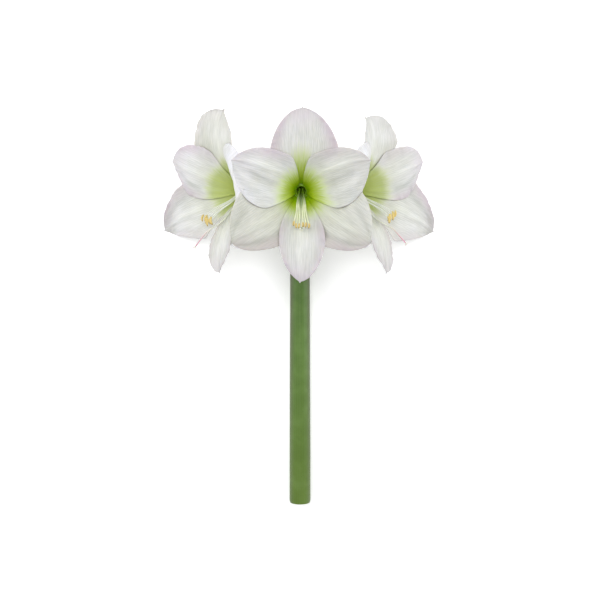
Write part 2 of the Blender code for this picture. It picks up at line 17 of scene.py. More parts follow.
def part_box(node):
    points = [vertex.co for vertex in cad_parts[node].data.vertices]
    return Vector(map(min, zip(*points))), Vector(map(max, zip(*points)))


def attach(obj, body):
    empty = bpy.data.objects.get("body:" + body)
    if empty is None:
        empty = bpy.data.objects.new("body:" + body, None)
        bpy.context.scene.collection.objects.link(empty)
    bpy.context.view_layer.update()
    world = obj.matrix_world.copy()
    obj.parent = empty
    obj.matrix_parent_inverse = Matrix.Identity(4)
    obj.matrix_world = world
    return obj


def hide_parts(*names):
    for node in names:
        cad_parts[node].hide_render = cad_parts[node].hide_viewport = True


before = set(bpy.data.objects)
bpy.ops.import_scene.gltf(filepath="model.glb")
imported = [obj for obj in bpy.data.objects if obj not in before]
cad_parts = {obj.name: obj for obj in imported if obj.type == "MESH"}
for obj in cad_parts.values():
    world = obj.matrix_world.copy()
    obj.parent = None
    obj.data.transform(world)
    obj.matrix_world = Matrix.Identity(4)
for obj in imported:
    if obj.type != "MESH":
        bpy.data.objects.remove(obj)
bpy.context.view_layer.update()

# Stalk. The solid stalk has 24 flats and lies on one of them.
STEM_LENGTH = 0.345
STEM_STATIONS = ((0.0, 0.0125), (0.03, 0.0124), (0.10, 0.0122), (0.18, 0.0119), (0.26, 0.0116), (0.32, 0.0113))
STEM_TOP_RADIUS = 0.0113
STEM_END_RADIUS = 0.0104
STEM_BORE_RADIUS = 0.0080
STEM_SOLID_TOP = 0.016
STEM_SIDES = 144
FLAT_SHARE = cos(pi / 24)
STEM_AXIS = STEM_TOP_RADIUS * FLAT_SHARE
SEAT = 0.0003

# Tepals
BLADE_THICKNESS = 0.0006
ROWS = 84
TIP_ROWS = 6
COLUMNS = 49
WHORL_OFFSET = 0.0011
WHORL_SPREAD = 0.1
MARGIN_DROP = 0.0008
MIDRIB_DEPTH = 0.0004
MIDRIB_WIDTH = 0.16
RUFFLE = 0.0008
FRILL = 0.0004
WAVES = 2.5
ROOT_WIDTH_SHARE = 0.2
TIP_HALF_WIDTH = 0.0009
TIP_LENGTH = 0.0016
TIP_END_HALF_WIDTH = 0.00008
LEAST_HALF_WIDTH = 0.00005
ROOT_ROOM = 0.86
ROOT_BLEND = 0.0015
HOOK_START = 0.93
TONGUE_WIDTH = 0.36
CREST_HEIGHT = 0.0012
PRESS_BLEND = 0.010

# Trumpet surface
THROAT_RADIUS = 0.0070
THROAT_ANGLE = 18.0
FLARE_LENGTH = 0.120
FLARE_POWER = 0.85
CURL_START = 0.055
CURL_SPAN = 0.055
STEPS = 48

# Perianth tube, pedicel and ovary
TUBE_LENGTH = 0.017
TUBE_FLOOR = 0.0135
TUBE_WALL = 0.0017
TUBE_BASE_RADIUS = 0.0046
TUBE_OUTSIDE = ((-0.0140, 0.0049), (-0.0110, 0.0056), (-0.0055, 0.0071), (-0.0022, 0.0081))
TUBE_INSIDE = ((-TUBE_FLOOR, 0.0030), (-0.0080, 0.0042), (-0.0040, 0.0046))
TUBE_SIDES = 72
PEDICEL_ROOT_RADIUS = 0.0041
PEDICEL_RADIUS = 0.0036
PEDICEL_RINGS = 90
PEDICEL_ROOT_RINGS = 6
PEDICEL_SIDES = 48
OVARY_RADIUS = 0.0062
OVARY_LENGTH = 0.017
OVARY_MIDDLE = 0.45 * OVARY_LENGTH

# Stamens and style
STAMEN_COUNT = 6
STAMEN_RING_RADIUS = 0.0034
STAMEN_RING_DEPTH = 0.0040
FILAMENT_RADII = (0.0009, 0.0007)
SIDE_FILAMENT_RADII = (0.0007, 0.0005)
FILAMENT_GAP = 5.2
FILAMENT_PARTING = 1.3
FILAMENT_ROOT_PARTING = 12.0
FILAMENT_TURN = 0.014
FILAMENT_LIFT = 0.0050
THREAD_SINK = 0.024
THREAD_TURN_SPAN = 0.025
ANTHER_LENGTH = 0.0078
ANTHER_RADIUS = 0.0015
ANTHER_STATIONS = 17
ANTHER_SIDES = 20
STYLE_RADIUS = 0.0007
STYLE_LIFT = 0.0028
STYLE_TURN = 0.040
STIGMA_LENGTH = 0.0038
STIGMA_RADII = (0.0006, 0.00042)

# Withered bracts
BRACT_HALF_WIDTH = 0.0085
BRACT_THICKNESS = 0.0006
BRACT_GAP = 0.0010
BRACT_ROWS = 64
BRACT_COLUMNS = 25

# Where the blooms open, and how far they turn and nod
FRONT_THROAT = (0.0012, 0.3735, 0.0900)
LEFT_THROAT = (-0.0605, 0.3750, 0.0320)
RIGHT_THROAT = (0.0575, 0.3750, 0.0320)
NOD = 6.0
SIDE_TURN = 50.0
RIGHT_TWIST = 3.8

# Where each bloom's stamens end: azimuth, distance from the throat and height over the tepals
STAMEN_FANS = {"front": (270, 0.053, 0.012), "left": (250, 0.053, 0.018), "right": (290, 0.053, 0.018)}
ANTHER_SIZES = {"front": 0.75, "left": 1.1, "right": 1.1}

# Where each bloom's style ends: distance from the throat, height over the tepals and azimuth
STYLES = {"front": (0.055, 0.0105, 272), "left": (0.082, 0.015, 249), "right": (0.082, 0.015, 291)}

# Floor, camera and lights, each light with its place, width and power
FLOOR_HALF_SIZE = 3.0
FLOOR_GAP = 0.0002
CAMERA_PLACE = (0.0, 0.330, 1.300)
CAMERA_TARGET = (0.0, 0.246, 0.012)
LENS = 64.54
LIGHT_TARGET = (0.0, 0.10, 0.05)
LIGHTS = {
    "above": ((-0.15, 0.6, 1.9), 0.9, 15.0),
    "left": ((-1.6, 0.5, 0.75), 1.2, 13.0),
    "right": ((1.6, 0.4, 0.75), 1.2, 14.0),
}

# How green a tepal is, 1 for the deepest, by the distance from the bloom's axis
FRONT_GREEN = ((0.007, 1.0), (0.0085, 0.93), (0.0108, 0.83), (0.014, 0.72), (0.0173, 0.62), (0.0205, 0.52),
               (0.0238, 0.41), (0.029, 0.23), (0.0345, 0.08), (0.042, 0.0))
LOW_GREEN = ((0.007, 1.0), (0.0125, 0.97), (0.0173, 0.78), (0.0216, 0.60), (0.0259, 0.43), (0.0302, 0.27),
             (0.0367, 0.12), (0.046, 0.0))
SIDE_GREEN = ((0.007, 1.0), (0.011, 0.86), (0.015, 0.76), (0.019, 0.68), (0.026, 0.56), (0.031, 0.38),
              (0.036, 0.20), (0.041, 0.07), (0.048, 0.0))

# Angle to the bloom's axis that the surface reaches at FLARE_LENGTH, by azimuth
FRONT_FLARE = {90: 116, 157: 92, 212: 84, 270: 98, 328: 84, 23: 92}
LEFT_FLARE = {88: 118, 150: 96, 208: 94, 270: 96, 330: 76, 30: 76}

# Azimuth of the tepals that curl further outwards beyond CURL_START, and by how many degrees
LEFT_CURL = (0.0, 40.0)
RIGHT_CURL = (180.0, 40.0)

# What is said of each tepal: azimuth and length, half-width, sweep of its tip round the axis, whorl (1 inner, -1
# outer), share of its length at which it is widest, how blunt it ends and with what curve, how green it is by the
# distance from the axis, how much painted shade darkens it, how far its margins take a lilac tint that is partly
# painted shade, and its folds, each with its place and height, its width, and the shares of the length where it
# starts and ends. Only some say how far the green reaches (green_reach, and low_green for what hangs low), how much
# further in the middle (tongue) and how much more painted shade darkens that (tongue_grey), what part of the
# throat's radius a half may take near the root (room), or how far the tip hooks.
# A pair holds the value for the side of the lesser azimuth, then for the other side.
TEPAL_KEYS = ("azimuth", "length", "half", "sweep", "whorl", "widest", "blunt", "ease", "green", "grey", "flush",
              "folds")


def tepal(*values, **more):
    """What is said of one tepal, in the order of TEPAL_KEYS and then by name."""
    return dict(zip(TEPAL_KEYS, values), **more)


def mirror_image(spec, **changes):
    """The same tepal seen in a mirror, with what differs."""
    flipped = {key: value[::-1] if isinstance(value, tuple) else value for key, value in spec.items()}
    flipped.update(azimuth=(180 - spec["azimuth"]) % 360, sweep=-spec["sweep"], hook=-spec.get("hook", 0.0),
                   green=spec["green"], folds=tuple((-fold[0], *fold[1:]) for fold in spec["folds"]))
    return {**flipped, **changes}


FRONT_UPPER_LEFT = tepal(
    163, 0.0983, (0.0319, 0.0336), -0.0130, 0.95, (0.41, 0.6), (2.13, 2.16), (0.65, 0.84), FRONT_GREEN, 0.1,
    (0.9, 0.05), ((-0.36, 0.0014, 0.12, 0.25, 0.92), (0.10, -0.0009, 0.18, 0.24, 0.75),
                  (0.05, -0.0004, 0.03, 0.42, 0.72)), green_reach=0.98, low_green=0.2, room=(1.25, 0.92))
FRONT_LOWER_LEFT = tepal(
    211.5, 0.1105, (0.0410, 0.0365), 0.0045, -0.9, (0.42, 0.34), (2.57, 1.77), (0.76, 0.56), LOW_GREEN, 0.95,
    (0.0, 1.0), ((0.04, 0.0014, 0.12, 0.28, 0.8), (-0.52, -0.0008, 0.14, 0.6, 0.9),
                 (0.62, -0.0009, 0.14, 0.4, 0.9)), green_reach=0.9)
FRONT_TEPALS = {
    "top": tepal(
        91, 0.1025, (0.0450, 0.0374), -0.0030, -1, (0.44, 0.36), (1.73, 2.23), (0.6, 0.55), FRONT_GREEN, 0.35, 1.0,
        ((0.25, 0.0004, 0.1, 0.3, 0.8), (-0.25, 0.0004, 0.1, 0.35, 0.8)), tongue=0.9, tongue_grey=0.5),
    "upper_left": FRONT_UPPER_LEFT,
    "upper_right": mirror_image(FRONT_UPPER_LEFT, green_reach=1.05, low_green=1.1, grey=0.5, flush=(0.05, 0.7)),
    "lower_left": FRONT_LOWER_LEFT,
    "lower_right": mirror_image(FRONT_LOWER_LEFT, green_reach=1.0, grey=0.85),
    "bottom": tepal(
        269, 0.1098, (0.0241, 0.0280), 0.0004, 0.8, (0.57, 0.6), (2.0, 1.6), (0.74, 0.57), LOW_GREEN, 0.35, 0.9,
        ((0.0, 0.0012, 0.22, 0.35, 0.9),), green_reach=0.92, room=(0.75, 0.75)),
}
LEFT_TEPALS = {
    "top": tepal(
        79, 0.1069, (0.0500, 0.0421), 0.0080, -0.9, (0.66, 0.7), (1.87, 1.72), (1.1, 0.35), SIDE_GREEN, 0.75, 0.3,
        ((0.1, 0.0010, 0.16, 0.35, 0.9),), tongue=0.25, hook=-0.0045),
    "upper_left": tepal(
        151.5, 0.0963, (0.0364, 0.0265), -0.0034, 0.8, (0.43, 0.65), (2.28, 1), (0.41, 0.81), SIDE_GREEN, 0.2, 0.9,
        ((-0.1, 0.0010, 0.14, 0.3, 0.85), (0.5, -0.0008, 0.14, 0.4, 0.8)), room=(1, 0.86)),
    "upper_right": tepal(32, 0.1020, 0.0320, -0.0040, 1, 0.56, 2.2, 0.5, SIDE_GREEN, 0.0, 0.1, ()),
    "lower_left": tepal(
        199.5, 0.1220, (0.0365, 0.0376), 0.0049, -0.9, (0.46, 0.48), (1.89, 1), (0.48, 0.81), SIDE_GREEN, 0.5,
        (1.0, 0.5), ((0.0, 0.0014, 0.13, 0.35, 0.95), (-0.55, -0.0010, 0.15, 0.4, 0.9)), green_reach=0.85),
    "lower_right": tepal(328, 0.1060, 0.0300, -0.0040, -1, 0.56, 2.2, 0.5, SIDE_GREEN, 0.0, 0.1, ()),
    "bottom": tepal(
        274, 0.1044, (0.0191, 0.0420), -0.0007, 0.8, (0.75, 0.6), (2.8, 1), (0.42, 1.05), SIDE_GREEN, 0.6, 0.6,
        ((0.0, 0.0010, 0.2, 0.35, 0.9),), green_reach=0.35, room=(0.75, 0.75)),
}
# How the right bloom differs from the left one seen in a mirror
RIGHT_CHANGES = {
    "top": dict(azimuth=101, length=0.0989, sweep=0.0048, half=(0.0441, 0.0489), blunt=(1.61, 1.13), grey=0.4),
    "upper_right": dict(azimuth=24, length=0.0943, sweep=0.0036, half=(0.0288, 0.0331), blunt=(1.04, 2.67),
                        green_reach=0.93),
    "lower_right": dict(azimuth=335, length=0.1228, sweep=-0.0036, half=(0.0427, 0.0422), blunt=1.0),
    "bottom": dict(azimuth=267, length=0.1075, sweep=0.0039, half=(0.0348, 0.0172), blunt=(1.0, 1.38)),
}
MIRROR = dict(zip(LEFT_TEPALS, ("top", "upper_right", "upper_left", "lower_right", "lower_left", "bottom")))
RIGHT_TEPALS = {MIRROR[which]: mirror_image(spec, **RIGHT_CHANGES.get(MIRROR[which], {}))
                for which, spec in LEFT_TEPALS.items()}
RIGHT_FLARE = {(180 - azimuth) % 360: angle for azimuth, angle in LEFT_FLARE.items()}


def ease(x):
    """Smooth step from 0 at 0 to 1 at 1."""
    x = np.clip(x, 0.0, 1.0)
    return x * x * (3.0 - 2.0 * x)


def bell(x, middle, width):
    """1 in the middle, softly down to 0 on both sides."""
    return np.exp(-(((x - middle) / width) ** 2))


def tone(red, green, blue):
    """A colour as a screen shows it, from 0 to 255, made linear."""
    shown = np.array((red, green, blue), float) / 255
    return (*np.where(shown <= 0.04045, shown / 12.92, ((shown + 0.055) / 1.055) ** 2.4), 1.0)


# ---------------------------------------------------------------- nodes


class Net:
    """Adds nodes to a shader or geometry tree. An input may be a number, a colour or the output of another node."""

    def __init__(self, tree):
        self.tree = tree

    def add(self, kind, given=None, **settings):
        node = self.tree.nodes.new(kind)
        node.location.x = 200 * len(self.tree.nodes)
        for key, value in settings.items():
            setattr(node, key, value)
        for key, value in (given or {}).items():
            self.give(node.inputs[key], value)
        return node

    def give(self, socket, value):
        if isinstance(value, bpy.types.Node):
            value = value.outputs[0]
        if isinstance(value, bpy.types.NodeSocket):
            self.tree.links.new(value, socket)
        else:
            socket.default_value = value

    def math(self, operation, *given, clamp=False):
        node = self.add("ShaderNodeMath", dict(enumerate(given)), operation=operation, use_clamp=clamp)
        return node.outputs[0]

    def times(self, value, *factors):
        for factor in factors:
            value = self.math("MULTIPLY", value, factor)
        return value

    def plus(self, first, second, clamp=False):
        return self.math("ADD", first, second, clamp=clamp)

    def minus(self, first, second):
        return self.math("SUBTRACT", first, second)

    def ridges(self, angle):
        """Rounded ridges, 0 between them and 1 on their tops."""
        return self.math("ABSOLUTE", self.math("SINE", angle))

    def scaled(self, vector, factor):
        return self.add("ShaderNodeVectorMath", {0: vector, "Scale": factor}, operation="SCALE").outputs[0]

    def xyz(self, x, y, z=0.0):
        return self.add("ShaderNodeCombineXYZ", {"X": x, "Y": y, "Z": z}).outputs[0]

    def noise(self, place, scale=1.0, detail=2.0):
        return self.add("ShaderNodeTexNoise", {"Vector": place, "Scale": scale, "Detail": detail}).outputs[0]

    def span(self, value, low, high, out_low=0.0, out_high=1.0, kind="SMOOTHSTEP"):
        """The value's place between low and high, as a share from out_low to out_high."""
        given = {"Value": value, "From Min": low, "From Max": high, "To Min": out_low, "To Max": out_high}
        return self.add("ShaderNodeMapRange", given, interpolation_type=kind).outputs[0]

    def spread(self, noise, out_low=0.0, out_high=1.0):
        """The range that a noise mostly keeps to, as a share."""
        return self.span(noise, 0.3, 0.7, out_low, out_high)

    def blend(self, share, first, second, mode="MIX"):
        """From the first colour to the second. A colour may be (red, green, blue) from 0 to 255."""
        shades = [tone(*shade) if isinstance(shade, tuple) else shade for shade in (first, second)]
        return self.add("ShaderNodeMix", {0: share, 6: shades[0], 7: shades[1]}, data_type="RGBA",
                        blend_type=mode).outputs[2]

    def ramp(self, value, stops):
        """A colour by the value, from stops of (place, colour)."""
        node = self.add("ShaderNodeValToRGB", {"Fac": value})
        bar = node.color_ramp.elements
        while len(bar) < len(stops):
            bar.new(0.5)
        for stop, (place, shade) in zip(bar, stops):
            stop.position = place
            stop.color = tone(*shade)
        return node.outputs[0]

    def named(self, *names):
        """Attributes of the geometry that the tree works on."""
        return [self.add("GeometryNodeInputNamedAttribute", {"Name": name}, data_type="FLOAT").outputs[0]
                for name in names]

    def moved(self, geometry, offset):
        return self.add("GeometryNodeSetPosition", {"Geometry": geometry, "Offset": offset})

    def kept_above(self, geometry):
        """Lifts what would lie below the surface that the flower lies on."""
        at = self.add("ShaderNodeSeparateXYZ", {"Vector": self.add("GeometryNodeInputPosition")}).outputs
        place = self.xyz(at["X"], at["Y"], self.math("MAXIMUM", at["Z"], 0.0))
        return self.add("GeometryNodeSetPosition", {"Geometry": geometry, "Position": place})

    def joined(self, *parts):
        node = self.add("GeometryNodeJoinGeometry")
        for part in parts:
            self.give(node.inputs[0], part)
        return node

    def real(self, geometry):
        return self.add("GeometryNodeRealizeInstances", {"Geometry": geometry})

    def coated(self, geometry, material):
        return self.add("GeometryNodeSetMaterial", {"Geometry": geometry, "Material": material})

    def handed_over(self, gives, given, geometry):
        """Ends a geometry tree with a smooth mesh in its material."""
        smooth = self.add("GeometryNodeSetShadeSmooth", {"Geometry": geometry})
        self.give(gives["Geometry"], self.coated(self.real(smooth), given["Material"]))
        return self.tree


def open_tree(name, kind, gives, **takes):
    """A node tree, with the sockets of its first and its last node.

    An input is given by its value, or by its type where it takes no number.
    """
    tree = bpy.data.node_groups.new(name, kind)
    for label, value in takes.items():
        socket = value if isinstance(value, str) else type(value).__name__.capitalize()
        made = tree.interface.new_socket(label.replace("_", " "), in_out="INPUT", socket_type="NodeSocket" + socket)
        if not isinstance(value, str):
            made.default_value = value
    for label in gives:
        socket = "NodeSocketGeometry" if label == "Geometry" else "NodeSocketFloat"
        tree.interface.new_socket(label, in_out="OUTPUT", socket_type=socket)
    net = Net(tree)
    return net, net.add("NodeGroupInput").outputs, net.add("NodeGroupOutput").inputs


# ---------------------------------------------------------------- shared looks


def vein_group():
    """Fine lines that run along a piece, thicker and thinner by turns, with their colour mask and their height."""
    net, given, gives = open_tree("parallel_veins", "ShaderNodeTree", ("Lines", "Height"), Across=0.0, Along=0.0,
                                  Count=20.0, Wander=0.4)
    drift = net.noise(net.xyz(net.times(given["Across"], 3.0), net.times(given["Along"], 2.0)))
    shifted = net.times(net.minus(drift, 0.5), given["Wander"])
    place = net.times(net.plus(given["Across"], shifted), given["Count"])
    broad, fine = net.ridges(net.times(place, pi)), net.ridges(net.times(place, pi * 2.37))
    lines = net.plus(net.times(net.math("POWER", broad, 6.0), 0.6), net.times(net.math("POWER", fine, 3.0), 0.4))
    net.give(gives["Lines"], net.times(lines, net.spread(drift, 0.45, 1.0)))
    net.give(gives["Height"], net.plus(net.times(broad, 0.7), net.times(fine, 0.3)))
    return net.tree


def skin_group():
    """The skin's small cells and a slow change of shade over a plant, from the place in the object."""
    net, given, gives = open_tree("plant_skin", "ShaderNodeTree", ("Cells", "Patches", "Specks"), Cell_Size=0.0003,
                                  Patch_Size=0.03)
    place = net.add("ShaderNodeTexCoord").outputs["Object"]
    small, large = (net.scaled(place, net.math("DIVIDE", 1.0, given[size])) for size in ("Cell Size", "Patch Size"))
    cells = net.add("ShaderNodeTexVoronoi", {"Vector": small, "Scale": 1.0}, feature="F1").outputs["Distance"]
    net.give(gives["Cells"], cells)
    net.give(gives["Patches"], net.noise(large, detail=3.0))
    net.give(gives["Specks"], net.noise(small, 0.22))
    return net.tree


class Finish:
    """A material with its Principled shader and the nodes that feed it."""

    def __init__(self, name, **fixed):
        self.material = bpy.data.materials.new(name)
        self.material.use_nodes = True
        self.net = Net(self.material.node_tree)
        self.shader = self.material.node_tree.nodes["Principled BSDF"]
        for key, value in fixed.items():
            self.shader.inputs[key.replace("_", " ")].default_value = value

    def attributes(self, *names):
        return [self.net.add("ShaderNodeAttribute", attribute_name=name).outputs["Fac"] for name in names]

    def group(self, tree, **given):
        node = self.net.add("ShaderNodeGroup", node_tree=tree)
        for key, value in given.items():
            self.net.give(node.inputs[key.replace("_", " ")], value)
        return node.outputs

    def finished(self, colour, roughness, *layers):
        """The material. Layers are (height, distance in metres) of its relief, the broadest first."""
        relief = {}
        for height, distance in layers:
            given = {"Height": height, "Distance": distance, "Strength": 1.0, **relief}
            relief = {"Normal": self.net.add("ShaderNodeBump", given)}
        for key, value in {"Base Color": colour, "Roughness": roughness, **relief}.items():
            self.net.give(self.shader.inputs[key], value)
        return self.material


def tepal_finish(veins, skin):
    """White with fine grey veins and green in the throat. The margins take a lilac tint that is partly painted shade,
    the back a lilac tint and the rim a pale pink line that is partly painted highlight; fold crests get a painted
    highlight, fold valleys painted shade, and each tepal painted shade by its own amount.
    """
    look = Finish("tepal_white", Subsurface_Weight=0.25, Subsurface_Radius=(1.0, 0.9, 0.7), Subsurface_Scale=0.0015,
                  Specular_IOR_Level=0.22)
    net = look.net
    across, share, reach, side = look.attributes("across", "share", "reach", "side")
    green, back, crest, flushed = look.attributes("green", "back", "crest", "flush")
    pastel, grey = look.attributes("pastel", "grey")
    cover = look.group(skin, Cell_Size=0.00035, Patch_Size=0.028)
    lines = look.group(veins, Across=across, Along=share, Count=17.0, Wander=0.10)

    white = net.blend(net.span(cover["Patches"], 0.33, 0.67), (222, 222, 223), (233, 232, 237))
    # Painted highlight on the crests of the raised folds, and painted shade in their valleys.
    white = net.blend(net.span(crest, 0.0, 1.2, 0.0, 0.55), white, (244, 244, 245))
    white = net.blend(net.span(crest, -1.0, 0.0, 0.9, 0.0), white, (232, 233, 232), "MULTIPLY")
    rows = net.noise(net.xyz(net.times(side, 900.0), net.times(reach, 55.0)))
    white = net.blend(net.span(rows, 0.36, 0.64), white, (240, 241, 240), "MULTIPLY")
    white = net.blend(lines["Lines"], white, (234, 236, 234), "MULTIPLY")

    edge = net.math("ABSOLUTE", across)
    # Margins and tip: a lilac tint that is partly the tepal's own and partly painted shade; the back gets a quarter
    # share of the tint.
    flush = net.times(net.span(edge, 0.45, 1.0), net.span(share, 0.25, 0.6))
    flush = net.math("MAXIMUM", flush, net.span(share, 0.7, 1.0, 0.0, 0.6))
    flush = net.times(flush, net.spread(cover["Patches"], 0.5, 1.0), flushed)
    flush = net.plus(net.times(flush, 0.95), net.times(back, 0.25), clamp=True)
    white = net.blend(flush, white, (200, 186, 200))
    # A pale pink line along the very rim, partly the tepal's own edge and partly painted highlight.
    rim = net.times(net.span(edge, 0.965, 1.0), net.span(share, 0.35, 0.7), 0.7)
    white = net.blend(rim, white, (245, 238, 244))
    white = net.blend(net.span(reach, 0.045, 0.085, 0.9, 0.0), white, (253, 254, 247), "MULTIPLY")

    streaks = net.noise(net.xyz(net.times(across, 16.0), net.times(share, 5.0)), detail=3.0)
    depth = net.plus(green, net.times(net.minus(streaks, 0.5), 0.42))
    deep = net.ramp(depth, ((0.0, (224, 226, 220)), (0.13, (223, 227, 214)), (0.27, (221, 227, 202)),
                            (0.43, (214, 225, 176)), (0.62, (192, 211, 104)), (0.80, (180, 207, 34)),
                            (0.92, (168, 206, 4)), (1.0, (162, 210, 0))))
    pale = net.ramp(depth, ((0.0, (224, 226, 220)), (0.10, (222, 224, 214)), (0.20, (217, 220, 202)),
                            (0.38, (204, 211, 172)), (0.52, (190, 201, 142)), (0.68, (190, 202, 126)),
                            (0.86, (196, 208, 116)), (1.0, (130, 166, 30))))
    colour = net.blend(net.span(depth, 0.02, 0.40), white, net.blend(pastel, deep, pale))
    # Painted shade: each tepal darkened by its own amount, and more on the middle of the tongue near the throat.
    colour = net.blend(grey, colour, (232, 233, 221), "MULTIPLY")
    return look.finished(colour, net.spread(cover["Specks"], 0.42, 0.56), (lines["Height"], 0.00012),
                         (cover["Cells"], 0.00003))


def stalk_finish(name, skin, veins, pale, deep, base, flush=0.0):
    """Waxy green skin with fine lines along the stalk, a few darker specks, and painted brownish shade on its flanks.
    """
    look = Finish(name, Subsurface_Weight=0.08, Subsurface_Radius=(0.6, 1.0, 0.3), Subsurface_Scale=0.001,
                  Specular_IOR_Level=0.45)
    net = look.net
    turn, share, cut, inside = look.attributes("turn", "share", "cut", "inside")
    cover = look.group(skin, Cell_Size=0.00045, Patch_Size=0.02)
    lines = look.group(veins, Across=turn, Along=share, Count=26.0, Wander=0.03)
    colour = net.blend(net.spread(cover["Patches"], 0.25, 0.75), deep, pale)
    colour = net.blend(net.span(share, 0.0, 1.0, 0.5, 0.0, "LINEAR"), colour, base)
    # Painted shade on the stalk's two flanks, brownish olive and stronger towards the top.
    flank = net.math("ABSOLUTE", net.math("COSINE", net.times(turn, 2 * pi)))
    flank = net.times(net.span(flank, 0.45, 1.0, 0.0, flush), net.span(share, 0.0, 0.9, 0.5, 1.0))
    colour = net.blend(flank, colour, (78, 78, 54))
    colour = net.blend(net.times(lines["Lines"], 0.7), colour, pale)
    colour = net.blend(net.span(cover["Specks"], 0.62, 0.75, 0.0, 0.35), colour, deep)
    wax = net.span(cover["Patches"], 0.45, 0.75, 0.0, 0.06)
    colour = net.blend(wax, colour, (150, 172, 122))
    colour = net.blend(cut, colour, (206, 216, 176))
    colour = net.blend(inside, colour, (130, 172, 2))
    roughness = net.plus(net.spread(cover["Specks"], 0.37, 0.50), net.times(wax, 0.5))
    return look.finished(colour, roughness, (lines["Height"], 0.00010), (cover["Cells"], 0.00003))


def thread_finish(name, skin, root, tip, turns):
    """A thread that changes colour from root to tip, between the two shares of its length in turns."""
    look = Finish(name, Subsurface_Weight=0.15, Subsurface_Radius=(1.0, 0.9, 0.5), Subsurface_Scale=0.001)
    net = look.net
    cover = look.group(skin, Cell_Size=0.0003, Patch_Size=0.008)
    colour = net.blend(net.span(*look.attributes("share"), *turns), root, tip)
    colour = net.blend(net.span(cover["Patches"], 0.35, 0.7), colour, (240, 242, 236), "MULTIPLY")
    return look.finished(colour, net.spread(cover["Specks"], 0.39, 0.53), (cover["Cells"], 0.00002))


def anther_finish(skin):
    """Golden pollen over a tan body, brown along the slit and at the lower end."""
    look = Finish("anther_gold", Roughness=0.85)
    net = look.net
    slit, end = look.attributes("slit", "end")
    cover = look.group(skin, Cell_Size=0.00025, Patch_Size=0.002)
    colour = net.blend(net.spread(cover["Patches"]), (216, 192, 116), (230, 210, 142))
    colour = net.blend(net.times(slit, 0.5), colour, (140, 104, 50))
    colour = net.blend(net.times(end, 0.7), colour, (98, 68, 30))
    return look.finished(colour, net.spread(cover["Specks"], 0.75, 0.95), (cover["Cells"], 0.00006))


def pollen_finish(skin):
    look = Finish("pollen", Roughness=0.9)
    cover = look.group(skin, Cell_Size=0.0002, Patch_Size=0.0015)
    colour = look.net.blend(look.net.spread(cover["Patches"]), (226, 202, 116), (240, 224, 158))
    return look.finished(colour, look.net.spread(cover["Specks"], 0.8, 0.98))


def bract_finish(skin, veins):
    """Thin dry papery skin, tan with darker veins and a brown torn end."""
    look = Finish("bract_paper", Subsurface_Weight=0.1, Subsurface_Radius=(1.0, 0.7, 0.4), Subsurface_Scale=0.001)
    net = look.net
    across, share = look.attributes("across", "share")
    cover = look.group(skin, Cell_Size=0.0005, Patch_Size=0.009)
    lines = look.group(veins, Across=across, Along=share, Count=13.0, Wander=0.16)
    colour = net.blend(net.spread(cover["Patches"]), (190, 164, 128), (214, 196, 160))
    colour = net.blend(net.times(lines["Lines"], 0.6), colour, (150, 116, 82))
    colour = net.blend(net.span(share, 0.0, 0.30, 0.55, 0.0), colour, (150, 160, 96))
    colour = net.blend(net.span(share, 0.7, 1.0, 0.0, 0.7), colour, (132, 92, 60))
    return look.finished(colour, net.spread(cover["Specks"], 0.7, 0.9), (lines["Height"], 0.0003),
                         (cover["Cells"], 0.00008))


def floor_finish():
    look = Finish("pale_floor", Roughness=0.7, Specular_IOR_Level=0.2, Emission_Color=tone(250, 250, 250),
                  Emission_Strength=0.3)
    net = look.net
    place = net.add("ShaderNodeTexCoord").outputs["Object"]
    cloud, grain = net.noise(place, 3.0), net.noise(place, 420.0)
    return look.finished(net.blend(net.spread(cloud), (249, 249, 249), (251, 251, 251)),
                         net.spread(grain, 0.66, 0.76), (grain, 0.00002))


# ---------------------------------------------------------------- geometry trees


def blade_tree():
    """A sheet becomes a closed blade: thickest in its middle, thin at its rim, with raised veins and soft pleats."""
    net, given, gives = open_tree(
        "blade", "GeometryNodeTree", ("Geometry",), Geometry="Geometry", Thickness=0.0008, Vein_Count=11.0,
        Vein_Height=0.0001, Pleat_Height=0.0003, Material="Material")
    across, share, rim = net.named("across", "share", "rim")
    normal = net.add("GeometryNodeInputNormal")
    shape = net.times(net.span(share, 0.04, 0.30), net.span(share, 0.80, 1.0, 1.0, 0.0), net.span(rim, 0.0, 0.006))
    drift = net.noise(net.xyz(net.times(across, 2.0), net.times(share, 2.5)), detail=1.0)
    place = net.plus(across, net.times(net.minus(drift, 0.5), 0.16))
    veins = net.times(net.ridges(net.times(place, given["Vein Count"], pi)), given["Vein Height"])
    pleats = net.times(net.math("COSINE", net.times(place, 4.0 * pi)), given["Pleat Height"])
    sheet = net.moved(given["Geometry"], net.scaled(normal, net.times(net.minus(pleats, veins), shape)))
    at_rim = net.span(rim, 0.0, 0.0012, 1.0, 0.0, "LINEAR")
    round_rim = net.math("SQRT", net.minus(1.0, net.math("POWER", at_rim, 2.0)))
    half = net.times(given["Thickness"], 0.5, round_rim)
    faces = []
    for sign, back in ((1.0, 0.0), (-1.0, 1.0)):
        face = net.moved(sheet, net.scaled(normal, net.times(half, sign)))
        faces.append(net.add("GeometryNodeStoreNamedAttribute", {"Geometry": face, "Name": "back", "Value": back},
                             data_type="FLOAT", domain="POINT"))
    both = net.joined(net.add("GeometryNodeFlipFaces", {"Mesh": faces[1]}), faces[0])
    closed = net.add("GeometryNodeMergeByDistance", {"Geometry": both, "Distance": 1e-6})
    return net.handed_over(gives, given, net.kept_above(closed))


